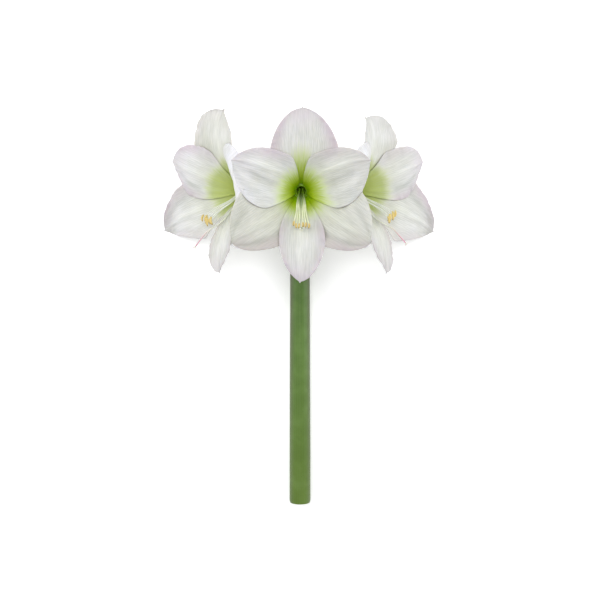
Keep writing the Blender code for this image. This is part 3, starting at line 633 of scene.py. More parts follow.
def thread_tree():
    """Round threads along drawn lines. The attribute thickness on the lines is their radius."""
    net, given, gives = open_tree("threads", "GeometryNodeTree", ("Geometry",), Geometry="Geometry", Sides=12,
                                  Spacing=0.0012, Material="Material")
    line = net.add("GeometryNodeMeshToCurve", {"Mesh": given["Geometry"]})
    line = net.add("GeometryNodeCurveSplineType", {"Curve": line}, spline_type="CATMULL_ROM")
    line = net.add("GeometryNodeSetSplineResolution", {"Geometry": line, "Resolution": 12})
    line = net.add("GeometryNodeResampleCurve", {"Curve": line, "Length": given["Spacing"]}, mode="LENGTH")
    ring = net.add("GeometryNodeCurvePrimitiveCircle", {"Resolution": given["Sides"], "Radius": 1.0})
    body = net.add("GeometryNodeCurveToMesh", {"Curve": line, "Profile Curve": ring, "Fill Caps": True,
                                               "Scale": net.named("thickness")[0]})
    return net.handed_over(gives, given, body)


def flute_tree():
    """Low ribs and lobes round a stalk, from the turn round it, with a slow wander along its length."""
    net, given, gives = open_tree(
        "fluting", "GeometryNodeTree", ("Geometry",), Geometry="Geometry", Rib_Count=40.0, Rib_Height=0.00008,
        Lobe_Count=3.0, Lobe_Height=0.0004, Unevenness=0.0003, Seed=0.0, Material="Material")
    turn, share, skin, lobe = net.named("turn", "share", "skin", "lobe")
    angle = net.times(turn, 2 * pi)
    circle = net.xyz(net.math("COSINE", angle), net.math("SINE", angle), net.plus(net.times(share, 3.0), given["Seed"]))
    drift = net.minus(net.noise(circle, 1.1), 0.5)
    ribs = net.math("SINE", net.times(net.plus(angle, net.times(drift, 0.25)), given["Rib Count"]))
    lobes = net.times(net.math("COSINE", net.times(angle, given["Lobe Count"])), lobe)
    raised = net.times(net.minus(ribs, 1.0), given["Rib Height"])
    raised = net.plus(raised, net.times(net.minus(lobes, lobe), given["Lobe Height"]))
    raised = net.plus(raised, net.times(net.minus(drift, 0.3), given["Unevenness"]))
    normal = net.add("GeometryNodeInputNormal")
    moved = net.moved(given["Geometry"], net.scaled(normal, net.times(raised, skin)))
    return net.handed_over(gives, given, net.kept_above(moved))


def anther_tree():
    """An anther on each point, turned by the attribute pose, with pollen grains scattered over it."""
    net, given, gives = open_tree(
        "anthers", "GeometryNodeTree", ("Geometry",), Geometry="Geometry", Anther="Object", Grain_Radius=0.00013,
        Grain_Density=3.5e6, Anther_Size=1.0, Seed=0, Material="Material", Pollen="Material")
    shape = net.add("GeometryNodeObjectInfo", {"Object": given["Anther"]}).outputs["Geometry"]
    pose = net.add("GeometryNodeInputNamedAttribute", {"Name": "pose"}, data_type="FLOAT_VECTOR")
    placed = net.add("GeometryNodeInstanceOnPoints", {
        "Points": given["Geometry"], "Instance": shape, "Scale": given["Anther Size"],
        "Rotation": net.add("FunctionNodeEulerToRotation", {"Euler": pose})})
    bodies = net.coated(net.real(placed), given["Material"])
    spots = net.add("GeometryNodeDistributePointsOnFaces", {
        "Mesh": bodies, "Density": given["Grain Density"], "Seed": given["Seed"]}, distribute_method="RANDOM")
    grain = net.add("GeometryNodeMeshIcoSphere", {"Radius": given["Grain Radius"], "Subdivisions": 1})
    size = net.add("FunctionNodeRandomValue", {2: 0.6, 3: 1.25, "Seed": given["Seed"]}, data_type="FLOAT")
    grains = net.add("GeometryNodeInstanceOnPoints", {"Points": spots, "Instance": grain, "Scale": size.outputs[1]})
    grains = net.coated(net.real(grains), given["Pollen"])
    both = net.real(net.joined(grains, bodies))
    net.give(gives["Geometry"], net.add("GeometryNodeSetShadeSmooth", {"Geometry": both}))
    return net.tree


def put_up(name, data):
    """A new object in the scene that holds the mesh, light or camera."""
    obj = bpy.data.objects.new(name, data)
    bpy.context.scene.collection.objects.link(obj)
    return obj


def mesh_object(name, points, faces=(), edges=(), **attributes):
    """An object in the scene from points and faces, with the given number or vector at each point as attributes."""
    mesh = bpy.data.meshes.new(name)
    mesh.from_pydata([tuple(p) for p in points], [tuple(e) for e in edges], [tuple(f) for f in faces])
    for key, values in attributes.items():
        values = np.asarray(values, float)
        kind, field = ("FLOAT_VECTOR", "vector") if values.ndim > 1 else ("FLOAT", "value")
        mesh.attributes.new(key, kind, "POINT").data.foreach_set(field, values.ravel())
    return put_up(name, mesh)


def grown(source, tree, name, **values):
    """The plain mesh that a geometry tree makes of the source, as a new object. The source goes."""
    modifier = source.modifiers.new("grow", "NODES")
    modifier.node_group = tree
    sockets = {item.name: item.identifier for item in tree.interface.items_tree if item.in_out == "INPUT"}
    for key, value in values.items():
        modifier[sockets[key.replace("_", " ")]] = value
    graph = bpy.context.evaluated_depsgraph_get()
    mesh = bpy.data.meshes.new_from_object(source.evaluated_get(graph))
    mesh.name = name
    old = source.data
    bpy.data.objects.remove(source, do_unlink=True)
    bpy.data.meshes.remove(old)
    return put_up(name, mesh)


def put_in(piece, slot, *nodes):
    """Attaches a piece to the root body and hides the CAD nodes that it stands for; the slot is not used."""
    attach(piece, "root")
    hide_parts(*nodes)


# ---------------------------------------------------------------- the trumpet and its tepals


class Trumpet:
    """Surface of revolution whose angle to the axis grows with the distance from the throat, by azimuth."""

    def __init__(self, flare, curl=(0.0, 0.0)):
        self.curl_azimuth, self.curl_degrees = radians(curl[0]), curl[1]
        azimuths = sorted(flare)
        self.first = radians(azimuths[0])
        self.turns = np.radians(np.array(azimuths + [azimuths[0] + 360.0]) - azimuths[0])
        self.ends = np.array([flare[a] for a in azimuths] + [flare[azimuths[0]]], float)

    def end_angle(self, azimuth):
        turn = np.mod(azimuth - self.first, 2 * pi)
        i = np.clip(np.searchsorted(self.turns, turn, side="right") - 1, 0, len(self.turns) - 2)
        share = (turn - self.turns[i]) / (self.turns[i + 1] - self.turns[i])
        return self.ends[i] + (self.ends[i + 1] - self.ends[i]) * ease(share)

    def angle(self, along, azimuth):
        flared = (np.maximum(along, 0.0) / FLARE_LENGTH) ** FLARE_POWER
        window = np.maximum(np.cos(azimuth - self.curl_azimuth), 0.0)
        curl = self.curl_degrees * window * ease((along - CURL_START) / CURL_SPAN)
        return np.radians(THROAT_ANGLE + (self.end_angle(azimuth) - THROAT_ANGLE) * flared + curl)

    def profile(self, along, azimuth):
        """Radius and height at a distance along the surface, summed in small steps."""
        along, azimuth = np.broadcast_arrays(np.asarray(along, float), np.asarray(azimuth, float))
        steps = (np.arange(STEPS) + 0.5) / STEPS
        angles = self.angle(along[..., None] * steps, azimuth[..., None])
        step = along / STEPS
        return THROAT_RADIUS + np.sin(angles).sum(-1) * step, np.cos(angles).sum(-1) * step

    def point(self, along, azimuth, raised):
        """The place over the surface, raised from it towards the inside of the bloom."""
        radius, height = self.profile(along, azimuth)
        angle = self.angle(along, azimuth)
        place = np.stack([radius * np.cos(azimuth), radius * np.sin(azimuth), height], -1)
        normal = np.stack([-np.cos(angle) * np.cos(azimuth), -np.cos(angle) * np.sin(azimuth), np.sin(angle)], -1)
        return place + normal * np.asarray(raised)[..., None]


def pair(value):
    """The value for a tepal's two sides."""
    return value if isinstance(value, tuple) else (value, value)


def half_widths(x, spec):
    """Half-width of a tepal on its two sides, at the share x of its length."""
    made = []
    for half, widest, blunt, power in zip(*(pair(spec[key]) for key in ("half", "widest", "blunt", "ease"))):
        rise = np.sin(pi / 2 * np.clip(x / widest, 0, 1)) ** 1.25
        rise = ROOT_WIDTH_SHARE + (1 - ROOT_WIDTH_SHARE) * rise
        fall = np.clip((x - widest) / (1 - widest), 0, 1) ** blunt
        made.append(half * np.where(x < widest, rise, np.maximum(0, 1 - fall) ** power))
    return made


def soft_least(a, b):
    """The lesser of two lengths, with a soft change from one to the other."""
    return -ROOT_BLEND * np.log(np.exp(-a / ROOT_BLEND) + np.exp(-b / ROOT_BLEND))


def fold_height(share, across, folds):
    """Height of the folds along a tepal: (place across, height, width across, share at its start and end) each."""
    total = np.zeros_like(share)
    for middle, height, width, first, last in folds:
        window = ease((share - first) / 0.15) * (1 - ease((share - last) / 0.12))
        total = total + height * window * bell(across, middle, width)
    return total


def tepal_offset(share, across, whorl, seed, folds):
    """Height of a tepal over the trumpet: its whorl, its folds, the wave of its margins and its midrib's groove."""
    rng = np.random.default_rng(seed)
    turns = 2 * pi * WAVES * share

    def rolling(first, second, weight):
        """Two waves along the tepal, which start anew on each of its sides."""
        starts = rng.uniform(0, 2 * pi, 4)
        low, high = np.where(across < 0, starts[0], starts[1]), np.where(across < 0, starts[2], starts[3])
        return np.sin(first * turns + low) + weight * np.sin(second * turns + high)

    wave = rolling(1.0, 1.9, 0.5)
    crimp = rolling(4.1, 6.7, 0.6)
    margin = np.abs(across) ** 2.2 * ease((share - 0.22) / 0.35)
    frill = np.abs(across) ** 7 * ease((share - 0.35) / 0.25)
    groove = bell(across, 0, MIDRIB_WIDTH) * ease((share - 0.03) / 0.2) * (1 - ease((share - 0.75) / 0.25))
    lifted = whorl * (WHORL_OFFSET * (1 + WHORL_SPREAD * share) - MARGIN_DROP * across**4 * ease(share / 0.3))
    lifted = lifted + fold_height(share, across, folds)
    return lifted + RUFFLE * margin * (wave + 0.2 * whorl) + FRILL * frill * crimp - MIDRIB_DEPTH * groove


def tepal_sheet(trumpet, spec, seed):
    """Middle surface of one tepal as rows of points from root to tip, in the bloom's frame, with its attributes.

    The tepal is drawn flat, then laid on the trumpet as if on the cone that touches it at the midrib. Its last
    rows are the small point at its tip.
    """
    length, azimuth = spec["length"], radians(spec["azimuth"])
    share = np.linspace(0, 1, ROWS)
    share = 0.35 * np.sin(pi / 2 * share) + 0.65 * share
    tip = TIP_LENGTH * np.linspace(0, 1, TIP_ROWS + 1)[1:]
    along = np.concatenate([SEAT + share * (length - SEAT), length + tip])
    share = np.concatenate([share, np.ones(TIP_ROWS)])
    radius, _ = trumpet.profile(along, np.full_like(along, azimuth))
    point = np.maximum(1 - np.clip((along - length) / TIP_LENGTH, 0, 1), 0.0) ** 0.7
    margins = []
    for half, room in zip(half_widths(share, spec), spec.get("room", (ROOT_ROOM, ROOT_ROOM))):
        half = np.maximum(half, TIP_HALF_WIDTH) * point + TIP_END_HALF_WIDTH
        margins.append(np.maximum(soft_least(half, room * radius), LEAST_HALF_WIDTH))
    narrow, wide = margins
    columns = np.linspace(-1, 1, COLUMNS)
    along, across = np.meshgrid(along, np.sin(pi / 2 * columns) * 0.4 + 0.6 * columns, indexing="ij")
    share = (along - SEAT) / (length - SEAT)
    reach = np.where(across < 0, narrow[:, None], wide[:, None])
    side = across * reach + spec["sweep"] * share**1.6
    side = side + spec.get("hook", 0.0) * ease((share - HOOK_START) / 0.08) ** 1.5
    slant_sine = np.sin(trumpet.angle(along, np.full_like(along, azimuth)))
    slant = radius[:, None] / slant_sine
    turned = azimuth + np.arctan2(side, slant) / slant_sine
    distance = along + np.hypot(slant, side) - slant
    raised = tepal_offset(np.minimum(share, 1.0), across, spec["whorl"], seed, spec["folds"])
    points = trumpet.point(distance, turned, raised)
    rim = np.minimum((1 - np.abs(across)) * reach, np.minimum(along - SEAT, along[-1:, :] - along))
    middle = np.exp(-((across / TONGUE_WIDTH) ** 4))
    low = 1 + spec.get("low_green", 0.0) * np.clip(-np.sin(turned), 0, 1)
    tongue = spec.get("green_reach", 1.0) * low * (1 + spec.get("tongue", 0.0) * middle)
    spread = THROAT_RADIUS + (np.hypot(points[..., 0], points[..., 1]) - THROAT_RADIUS) / tongue
    # Painted shade: the tepal's own amount, and more on the middle of the tongue near the throat.
    grey = spec["grey"] + spec.get("tongue_grey", 0.0) * middle * (1 - ease((along - 0.045) / 0.02))
    return points, dict(
        across=across, share=np.minimum(share, 1.0), rim=np.maximum(rim, 0.0), reach=along, side=side, grey=grey,
        green=np.interp(spread, *zip(*spec["green"])), flush=np.interp(across, (-0.3, 0.3), pair(spec["flush"])),
        pastel=np.full_like(along, 1.0 if spec["green"] is SIDE_GREEN else 0.0),
        crest=fold_height(share, across, spec["folds"]) / CREST_HEIGHT)


def press_down(points, lowest):
    """Flattens what would reach below the surface that the flower lies on, with a soft start."""
    above = np.maximum(points[..., 2] - lowest, 0.0)
    points[..., 2] = lowest + above * ease(above / PRESS_BLEND)
    return points


def sheet_object(name, points, attributes):
    """A sheet from a grid of points, with a value at each point for every attribute."""
    rows, columns = points.shape[:2]
    corner = np.arange(rows * columns).reshape(rows, columns)
    faces = np.stack([corner[:-1, :-1], corner[1:, :-1], corner[1:, 1:], corner[:-1, 1:]], -1).reshape(-1, 4)
    flat = {key: values.ravel() for key, values in attributes.items()}
    return mesh_object(name + "_sheet", points.reshape(-1, 3), faces, **flat)


def make_tepal(name, trumpet, spec, place, seed, tree, look):
    points, attributes = tepal_sheet(trumpet, spec, seed)
    points = points @ np.array(place.to_3x3()).T + np.array(place.translation)
    source = sheet_object(name, press_down(points, BLADE_THICKNESS / 2), attributes)
    return grown(source, tree, name, Thickness=BLADE_THICKNESS, Vein_Height=0.00009, Material=look)


# ---------------------------------------------------------------- stalks


def turned_object(name, rings, sides, place=None, **attributes):
    """A body from rings of (centre, across, up, radius), with a middle point at each of its two ends."""
    points, turns = [], []
    for centre, u, v, radius in rings:
        for k in range(sides):
            turn = 2 * pi * k / sides
            points.append(Vector(centre) + (Vector(u) * cos(turn) + Vector(v) * sin(turn)) * radius)
            turns.append(k / sides)

    def edges(ring):
        return [(ring * sides + k, ring * sides + (k + 1) % sides) for k in range(sides)]

    faces = [(a, b, b + sides, a + sides) for ring in range(len(rings) - 1) for a, b in edges(ring)]
    values = {key: list(np.repeat(np.asarray(value, float), sides)) for key, value in attributes.items()}
    for ring, flip in ((0, True), (len(rings) - 1, False)):
        middle = len(points)
        points.append(Vector(rings[ring][0]))
        turns.append(0.0)
        for key, value in attributes.items():
            values[key].append(float(value[ring]))
        faces += [(b, a, middle) if flip else (a, b, middle) for a, b in edges(ring)]
    if place is not None:
        points = [place @ p for p in points]
    return mesh_object(name + "_turned", points, faces, turn=turns, **values)


def frames_along(path, start=None, end=None):
    """Unit tangent and two cross directions at each point of a path, carried along without twist."""
    path = [Vector(p) for p in path]
    ends = [path[0]] + path[:-1], path[1:] + [path[-1]]
    tangents = [(after - before).normalized() for before, after in zip(*ends)]
    tangents[0] = start or tangents[0]
    tangents[-1] = end or tangents[-1]
    across = tangents[0].orthogonal().normalized()
    frames = []
    for tangent in tangents:
        across = (across - tangent * across.dot(tangent)).normalized()
        frames.append((tangent, across, tangent.cross(across)))
    return frames


def make_stem(shift, tree, look):
    """The stalk: a fluted skin, a rounded end under the pedicels, and a hollow with a clean cut wall."""
    lengths, radii = zip(*STEM_STATIONS)
    rings, share, skin, cut = [], [], [], []

    def add(y, radius, on_skin, on_cut):
        height = max(float(np.interp(y, lengths, radii)), STEM_TOP_RADIUS) * FLAT_SHARE
        centre = Vector((shift[0], shift[1] + y, height))
        rings.append((centre, (1, 0, 0), (0, 0, 1), radius))
        share.append(y / STEM_LENGTH)
        skin.append(on_skin)
        cut.append(on_cut)

    bore_end = STEM_LENGTH - STEM_SOLID_TOP
    for y, radius in ((bore_end, 0.0010), (bore_end - 0.001, 0.0044), (bore_end - 0.006, STEM_BORE_RADIUS)):
        add(y, radius, 0.0, 0.6)
    for y in np.linspace(bore_end - 0.02, 0.004, 30):
        add(float(y), STEM_BORE_RADIUS, 0.0, 0.7)
    for radius in (STEM_BORE_RADIUS, STEM_BORE_RADIUS + 0.0003, 0.0095, 0.0110, 0.0118):
        add(0.0, radius, 0.0, 1.0)
    add(0.00015, 0.01195, 0.0, 0.8)
    for y in map(float, np.concatenate([np.linspace(0.0006, 0.32, 130), np.linspace(0.323, 0.3405, 10)])):
        rounding = 0.0004 * (1 - ease(y / 0.002))
        add(y, float(np.interp(y, lengths, radii)) - rounding, float(ease(y / 0.003)), 0.0)
    for turn in map(float, np.linspace(0.1, 1.0, 9)):
        add(0.3415 + 0.0035 * sin(turn * pi / 2), STEM_END_RADIUS + 0.0009 * cos(turn * pi / 2), 1.0 - turn, 0.0)
    for radius in (0.0085, 0.0060, 0.0030, 0.0008):
        add(STEM_LENGTH, radius, 0.0, 0.0)
    source = turned_object("stem", rings, STEM_SIDES, share=share, skin=skin, cut=cut)
    return grown(source, tree, "stalk", Rib_Height=0.00006, Lobe_Height=0.0, Unevenness=0.0005, Seed=1.0, Material=look)


def pedicel_radius(from_end):
    """Radius of the flower stalk and ovary, by the distance that is left to the perianth tube."""
    swell = bell(from_end, OVARY_MIDDLE, 0.42 * OVARY_LENGTH)
    neck = ease(1 - from_end / OVARY_LENGTH)
    return (PEDICEL_RADIUS + (OVARY_RADIUS - PEDICEL_RADIUS) * swell
            + (TUBE_BASE_RADIUS - PEDICEL_RADIUS) * neck * (1 - swell))


def make_pedicel(name, root, root_pull, place, tree, look):
    """The flower stalk from the stem's end, with the three-lobed ovary where it meets the perianth tube."""
    out = (place.to_3x3() @ Vector((0, 0, 1))).normalized()
    end = place @ Vector((0, 0, -TUBE_LENGTH - SEAT))
    end_pull = end - out * (root - end).length * 0.45
    path = interpolate_bezier(root, root_pull, end_pull, end, PEDICEL_RINGS)
    left = [0.0]
    for a, b in zip(path[::-1], path[-2::-1]):
        left.insert(0, left[0] + (b - a).length)
    radii = [float(pedicel_radius(distance)) for distance in left]
    for i in range(PEDICEL_ROOT_RINGS):
        radii[i] = PEDICEL_ROOT_RADIUS + (radii[i] - PEDICEL_ROOT_RADIUS) * i / PEDICEL_ROOT_RINGS
    frames = frames_along(path, Vector((0, 1, 0)), out)
    rings = [(p, u, v, r) for p, (_, u, v), r in zip(path, frames, radii)]
    lobe = bell(np.array(left), OVARY_MIDDLE, OVARY_MIDDLE)
    share = [1 - i / (len(path) - 1) for i in range(len(path))]
    source = turned_object(name, rings, PEDICEL_SIDES, share=share, skin=[1.0] * len(path), lobe=lobe)
    return grown(source, tree, name, Rib_Count=18.0, Rib_Height=0.00004, Lobe_Height=0.00055, Unevenness=0.0002,
                 Seed=2.0, Material=look)


def make_tube(name, place, tree, look):
    """The short tube that the tepals join into, ribbed outside and open inside down to its floor."""
    lean, over = TUBE_WALL * sin(radians(THROAT_ANGLE)), TUBE_WALL * cos(radians(THROAT_ANGLE))
    outside = zip(*((-TUBE_LENGTH, TUBE_BASE_RADIUS), *TUBE_OUTSIDE, (-lean, THROAT_RADIUS + over)))
    inside = zip(*(*TUBE_INSIDE, (lean, THROAT_RADIUS - over)))
    spans = []
    for (heights, radii), count, on_skin in ((outside, 26, 1.0), (inside, 20, 0.0)):
        ends = (heights[0], heights[-1]) if on_skin else (heights[-1], heights[0])
        spans.append([(z, float(np.interp(z, heights, radii)), on_skin) for z in np.linspace(*ends, count)])
    (z, radius, _), (top_z, top_radius, _) = spans[0][-1], spans[1][0]
    lip = [(z + (top_z - z) * part + 0.0004 * sin(pi * part), radius + (top_radius - radius) * part, 0.0)
           for part in (0.25, 0.5, 0.75)]
    stations = spans[0] + lip + spans[1]
    rings = [((0, 0, z), (1, 0, 0), (0, 1, 0), radius) for z, radius, _ in stations]
    skin = [on_skin for _, _, on_skin in stations]
    share = [(z + TUBE_LENGTH) / TUBE_LENGTH if on_skin else 1.0 for z, _, on_skin in stations]
    source = turned_object(name, rings, TUBE_SIDES, place=place, share=share, skin=skin, lobe=skin,
                           inside=[1.0 - on_skin for on_skin in skin])
    return grown(source, tree, name, Rib_Count=30.0, Rib_Height=0.00003, Lobe_Count=6.0, Lobe_Height=0.00018,
                 Unevenness=0.0001, Seed=3.0, Material=look)


# ---------------------------------------------------------------- stamens and style


def leaning_path(trumpet, reach, low_rise, end_rise, bend, azimuths, turn_at, root, count):
    """A thread that leaves the tube straight, sinks towards the lower tepal and lifts away from it at its end.

    azimuths are where it lies at first and where it ends, and it turns from one to the other past turn_at.
    """
    path = [Vector(root)]
    for i in range(count):
        share = (i + 1) / count
        along = reach * share
        azimuth = azimuths[0] + (azimuths[1] - azimuths[0]) * float(ease((along - turn_at) / THREAD_TURN_SPAN))
        low = Vector(trumpet.point(along, azimuth, low_rise + (end_rise - low_rise) * share**bend))
        straight = Vector((root[0], root[1], along * 0.9))
        path.append(straight.lerp(low, float(ease(along / THREAD_SINK))))
    return path


def line_object(name, lines, radii):
    """Lines of points as edges, with their radius and the share of their length at each point."""
    points, edges, thickness, share = [], [], [], []
    for line, (first, last) in zip(lines, radii):
        start = len(points)
        points += line
        parts = [i / (len(line) - 1) for i in range(len(line))]
        share += parts
        thickness += [first + (last - first) * part for part in parts]
        edges += [(start + i, start + i + 1) for i in range(len(line) - 1)]
    return mesh_object(name + "_lines", points, edges=edges, thickness=thickness, share=share)


def anther_shape():
    """One anther, with its length along x and its slit facing up z: two long lobes, bent a little like a bean."""
    points, slit, end = [], [], []
    for i in range(ANTHER_STATIONS):
        t = -1 + 2 * i / (ANTHER_STATIONS - 1)
        size = max(max(1 - abs(t) ** 3.2, 0.0) ** 0.5, 0.05)
        bow = -0.16 * ANTHER_LENGTH * t * t
        for k in range(ANTHER_SIDES):
            x, y = cos(2 * pi * k / ANTHER_SIDES), sin(2 * pi * k / ANTHER_SIDES)
            radius = ANTHER_RADIUS * size * (1 - 0.30 * bell(y, 1, 0.16) - 0.16 * bell(y, -1, 0.16))
            points.append((ANTHER_LENGTH / 2 * t, radius * x * 1.02, radius * y * 0.86 + bow))
            slit.append(bell(y, 1, 0.10))
            end.append(max(0.0, t - 0.45) / 0.55)
    corner = np.arange(ANTHER_STATIONS * ANTHER_SIDES).reshape(ANTHER_STATIONS, ANTHER_SIDES)
    after = np.roll(corner, -1, axis=1)
    faces = list(np.stack([corner[1:], after[1:], after[:-1], corner[:-1]], -1).reshape(-1, 4))
    return mesh_object("anther_shape", points, faces + [corner[0], corner[-1, ::-1]], slit=slit, end=end)


def make_stamens(name, trumpet, place, seed, fan, size, front, trees, looks, anther):
    """Six filaments with their anthers, rooted in the tube, as one piece of threads and one of anthers."""
    rng = np.random.default_rng(seed)
    lines, spots, poses = [], [], []
    for k in range(STAMEN_COUNT):
        place_in_fan = k - (STAMEN_COUNT - 1) / 2
        root_azimuth = radians(270 + 60 * place_in_fan)
        parting = math.copysign(1, place_in_fan)
        wide = radians(270 + FILAMENT_GAP * place_in_fan + FILAMENT_ROOT_PARTING * parting)
        narrow = radians(fan[0] + FILAMENT_GAP * place_in_fan + FILAMENT_PARTING * parting)
        reach = fan[1] * (1 + 0.03 * rng.uniform(-1, 1))
        rise = fan[2] * (1 + 0.06 * rng.uniform(-1, 1))
        turn = rng.uniform(-0.3, 0.3)
        root = (STAMEN_RING_RADIUS * cos(root_azimuth), STAMEN_RING_RADIUS * sin(root_azimuth), -STAMEN_RING_DEPTH)
        path = leaning_path(trumpet, reach, FILAMENT_LIFT, rise, 1.2, (wide, narrow), FILAMENT_TURN, root, 8)
        heading = place.to_3x3() @ (path[-1] - path[-2]).normalized()
        across = -Vector((sin(turn), cos(turn), 0.0))
        side = heading.cross(across).normalized()
        axes = Matrix((across, side, across.cross(side))).transposed()
        lines.append([place @ point for point in path])
        spots.append(place @ path[-1] + heading * 0.0004)
        poses.append(tuple(axes.to_euler()))
    threads = line_object(name, lines, [FILAMENT_RADII if front else SIDE_FILAMENT_RADII] * len(lines))
    threads = grown(threads, trees["thread"], name, Sides=14, Material=looks["stamen" if front else "side_stamen"])
    points = mesh_object(name + "_points", spots, pose=np.array(poses))
    anthers = grown(points, trees["anther"], name.replace("stamens", "anthers"), Anther=anther, Anther_Size=size,
                    Seed=seed, Material=looks["anther"], Pollen=looks["pollen"])
    return threads, anthers


def make_style(name, trumpet, place, reach, rise, azimuth, tree, look):
    """The style with its three short stigma lobes."""
    azimuths = (radians(270), radians(azimuth))
    root = (0, 0, -TUBE_FLOOR + SEAT)
    path = leaning_path(trumpet, reach, STYLE_LIFT, rise, 3.0, azimuths, STYLE_TURN, root, 12)
    path.insert(1, Vector((0, 0, -0.005)))
    lines, radii = [path], [(STYLE_RADIUS * 1.2, STYLE_RADIUS)]
    heading, u, v = frames_along(path)[-1]
    root = path[-1] - heading * 0.0006
    for turn in (0.0, 2 * pi / 3, 4 * pi / 3):
        spread = (heading + (u * cos(turn) + v * sin(turn)) * 0.75).normalized()
        lines.append([root, root + spread * STIGMA_LENGTH * 0.35, root + spread * STIGMA_LENGTH * 0.7,
                      root + (spread + heading * -0.3).normalized() * STIGMA_LENGTH])
        radii.append(STIGMA_RADII)
    source = line_object(name, [[place @ Vector(p) for p in line] for line in lines], radii)
    return grown(source, tree, name, Spacing=0.0008, Material=look)


# ---------------------------------------------------------------- bracts


def make_bract(name, side, shift, seed, tree, look):
    """A withered papery bract that stands off the stem's top and hangs back along it, crumpled and torn at its end."""
    rng = np.random.default_rng(seed)
    out = STEM_TOP_RADIUS + BRACT_GAP
    pulls = ((out, 0.3370, 0.0), (out + 0.001, 0.3600, 0.0), (out + 0.012, 0.3440, 0.0), (out + 0.0085, 0.3060, 0.0))
    line = interpolate_bezier(*map(Vector, pulls), BRACT_ROWS)
    grid = np.zeros((BRACT_ROWS, BRACT_COLUMNS, 3))
    across = np.linspace(-1, 1, BRACT_COLUMNS)
    phase = rng.uniform(0, 2 * pi, 6)
    rim = np.zeros(grid.shape[:2])
    for row, centre in enumerate(line):
        share = row / (BRACT_ROWS - 1)
        half = max(BRACT_HALF_WIDTH * (1 - share**1.5) ** 0.7, 0.0006) * (1 + 0.05 * sin(9 * share * pi + phase[0]))
        curl = STEM_TOP_RADIUS * (1 + 1.2 * share)
        turn = across * half / curl
        crumple = np.sin(14 * share + 3 * across + phase[1]) + np.sin(23 * share - 4 * across + phase[2])
        grid[row, :, 0] = side * (centre.x - curl * (1 - np.cos(turn)) + 0.0005 * share * crumple)
        grid[row, :, 1] = centre.y + 0.0006 * share * np.sin(17 * across + phase[3])
        grid[row, :, 2] = STEM_AXIS + curl * np.sin(turn)
        rim[row] = np.minimum((1 - np.abs(across)) * half, 0.05 * min(share, 1 - share))
    share, across = np.meshgrid(np.arange(BRACT_ROWS) / (BRACT_ROWS - 1), across, indexing="ij")
    grid += np.array([shift[0], shift[1], 0.0])
    order = slice(None, None, side)
    attributes = dict(across=across[:, order], share=share, rim=rim[:, order])
    return grown(sheet_object(name, grid[:, order], attributes), tree, name, Thickness=BRACT_THICKNESS,
                 Vein_Count=9.0, Vein_Height=0.00016, Pleat_Height=0.0002, Material=look)


# ---------------------------------------------------------------- the whole


def bloom_place(throat, shift, turn, twist=0.0):
    """Where a bloom stands: turned to its side, nodding, and twisted about the vertical."""
    rotation = Matrix.Rotation(radians(turn), 4, "Y") @ Matrix.Rotation(radians(NOD), 4, "X")
    return Matrix.Translation(Vector(throat) + shift) @ Matrix.Rotation(radians(twist), 4, "Z") @ rotation


def make_stage(shift):
    """A pale floor, three soft lights and the camera above."""
    corners = [(x * FLOOR_HALF_SIZE, y * FLOOR_HALF_SIZE, 0) for x, y in ((-1, -1), (1, -1), (1, 1), (-1, 1))]
    floor = mesh_object("floor", corners, [(0, 1, 2, 3)])
    floor.location.z = -FLOOR_GAP
    floor.data.materials.append(floor_finish())

    world = bpy.data.worlds.new("studio")
    bpy.context.scene.world = world
    world.use_nodes = True
    world.node_tree.nodes["Background"].inputs["Color"].default_value = (0.97, 0.985, 1.0, 1.0)
    world.node_tree.nodes["Background"].inputs["Strength"].default_value = 0.5
    for name, (place, width, power) in LIGHTS.items():
        data = bpy.data.lights.new(name, "AREA")
        data.size = width
        data.energy = power
        lamp = put_up(name, data)
        lamp.location = place
        lamp.visible_camera = False
        lamp.rotation_euler = (Vector(LIGHT_TARGET) - Vector(place)).to_track_quat("-Z", "Y").to_euler()

    data = bpy.data.cameras.new("camera")
    data.lens = LENS
    data.sensor_width = 36.0
    data.clip_start = 0.01
    camera = put_up("camera", data)
    place, target = Vector(CAMERA_PLACE) + shift, Vector(CAMERA_TARGET) + shift
    forward = (target - place).normalized()
    right = forward.cross(Vector((0, 1, 0))).normalized()
    axes = Matrix((right, right.cross(forward), -forward)).transposed().to_4x4()
    camera.matrix_world = Matrix.Translation(place) @ axes
    bpy.context.scene.camera = camera
    bpy.context.scene.view_settings.view_transform = "Standard"


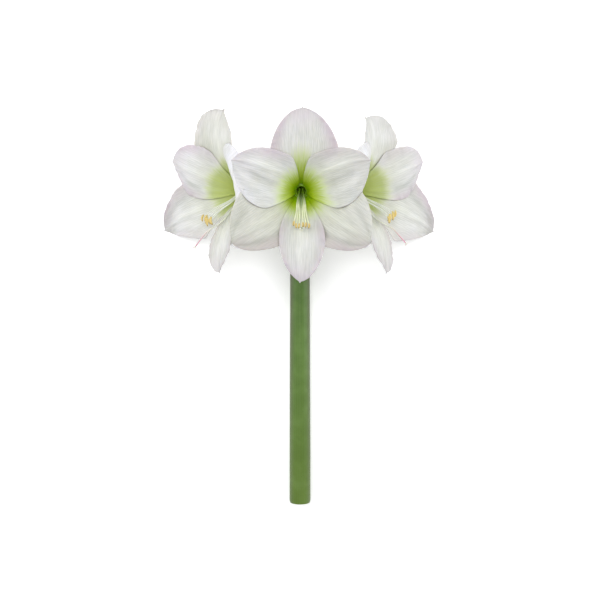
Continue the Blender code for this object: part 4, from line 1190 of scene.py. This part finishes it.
def main():
    low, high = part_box("stem")
    shift = Vector(((low[0] + high[0]) / 2, low[1], 0.0))
    make_stage(shift)
    trees = {"blade": blade_tree(), "thread": thread_tree(), "flute": flute_tree(), "anther": anther_tree()}
    veins, skin = vein_group(), skin_group()
    looks = {
        "stem": stalk_finish("stalk_green", skin, veins, (92, 128, 56), (58, 94, 28), (104, 120, 24), flush=0.9),
        "pedicel": stalk_finish("pedicel_green", skin, veins, (140, 165, 92), (104, 134, 62), (120, 148, 72)),
        "tube": stalk_finish("tube_green", skin, veins, (168, 184, 108), (118, 146, 52), (150, 172, 84)),
        "tepal": tepal_finish(veins, skin),
        "stamen": thread_finish("filament_pale", skin, (92, 122, 20), (230, 234, 202), (0.2, 0.6)),
        "side_stamen": thread_finish("filament_white", skin, (206, 214, 176), (228, 230, 224), (0.1, 0.4)),
        "anther": anther_finish(skin),
        "pollen": pollen_finish(skin),
        "front_style": thread_finish("style_pale", skin, (92, 122, 20), (236, 238, 224), (0.2, 0.6)),
        "style": thread_finish("style_pink", skin, (230, 232, 218), (224, 160, 182), (0.7, 1.0)),
        "bract": bract_finish(skin, veins),
    }

    put_in(make_stem(shift, trees["flute"], looks["stem"]), "stem", "stem")
    for number, (name, side) in enumerate((("bract_left", -1), ("bract_right", 1))):
        piece = make_bract(name + "_paper", side, shift, 41 + number, trees["blade"], looks["bract"])
        put_in(piece, "bract", name)

    seat = STEM_LENGTH + SEAT
    blooms = {
        "front": (FRONT_TEPALS, Trumpet(FRONT_FLARE), bloom_place(FRONT_THROAT, shift, 0), 3,
                  ((0, seat, STEM_AXIS + 0.0056), (0, seat + 0.026, STEM_AXIS + 0.012))),
        "left": (LEFT_TEPALS, Trumpet(LEFT_FLARE, LEFT_CURL), bloom_place(LEFT_THROAT, shift, -SIDE_TURN), 13,
                 ((-0.0050, seat, STEM_AXIS - 0.0026), (-0.0085, seat + 0.020, STEM_AXIS - 0.0036))),
        "right": (RIGHT_TEPALS, Trumpet(RIGHT_FLARE, RIGHT_CURL),
                  bloom_place(RIGHT_THROAT, shift, SIDE_TURN, RIGHT_TWIST), 23,
                  ((0.0050, seat, STEM_AXIS - 0.0026), (0.0085, seat + 0.020, STEM_AXIS - 0.0036))),
    }
    anther = anther_shape()
    for name, (tepals, trumpet, place, seed, pulls) in blooms.items():
        for number, (which, spec) in enumerate(tepals.items()):
            blade = make_tepal(f"{name}_{which}_blade", trumpet, spec, place, seed + number, trees["blade"],
                               looks["tepal"])
            put_in(blade, "tepal", f"{name}_tepal_{which}")
        put_in(make_tube(f"{name}_throat_tube", place, trees["flute"], looks["tube"]), "tube", f"{name}_tube")
        threads, anthers = make_stamens(f"{name}_filament_stamens", trumpet, place, seed, STAMEN_FANS[name],
                                        ANTHER_SIZES[name], name == "front", trees, looks, anther)
        put_in(threads, "stamen", f"{name}_stamens")
        put_in(anthers, "stamen", f"{name}_stamens")
        style = make_style(f"{name}_style_thread", trumpet, place, *STYLES[name], trees["thread"],
                           looks.get(f"{name}_style", looks["style"]))
        put_in(style, "style", f"{name}_style")
        root, root_pull = (Vector(pull) + shift for pull in pulls)
        stalk = make_pedicel(f"{name}_flower_stalk", root, root_pull, place, trees["flute"], looks["pedicel"])
        put_in(stalk, "pedicel", f"{name}_pedicel")
    bpy.data.objects.remove(anther, do_unlink=True)


main()
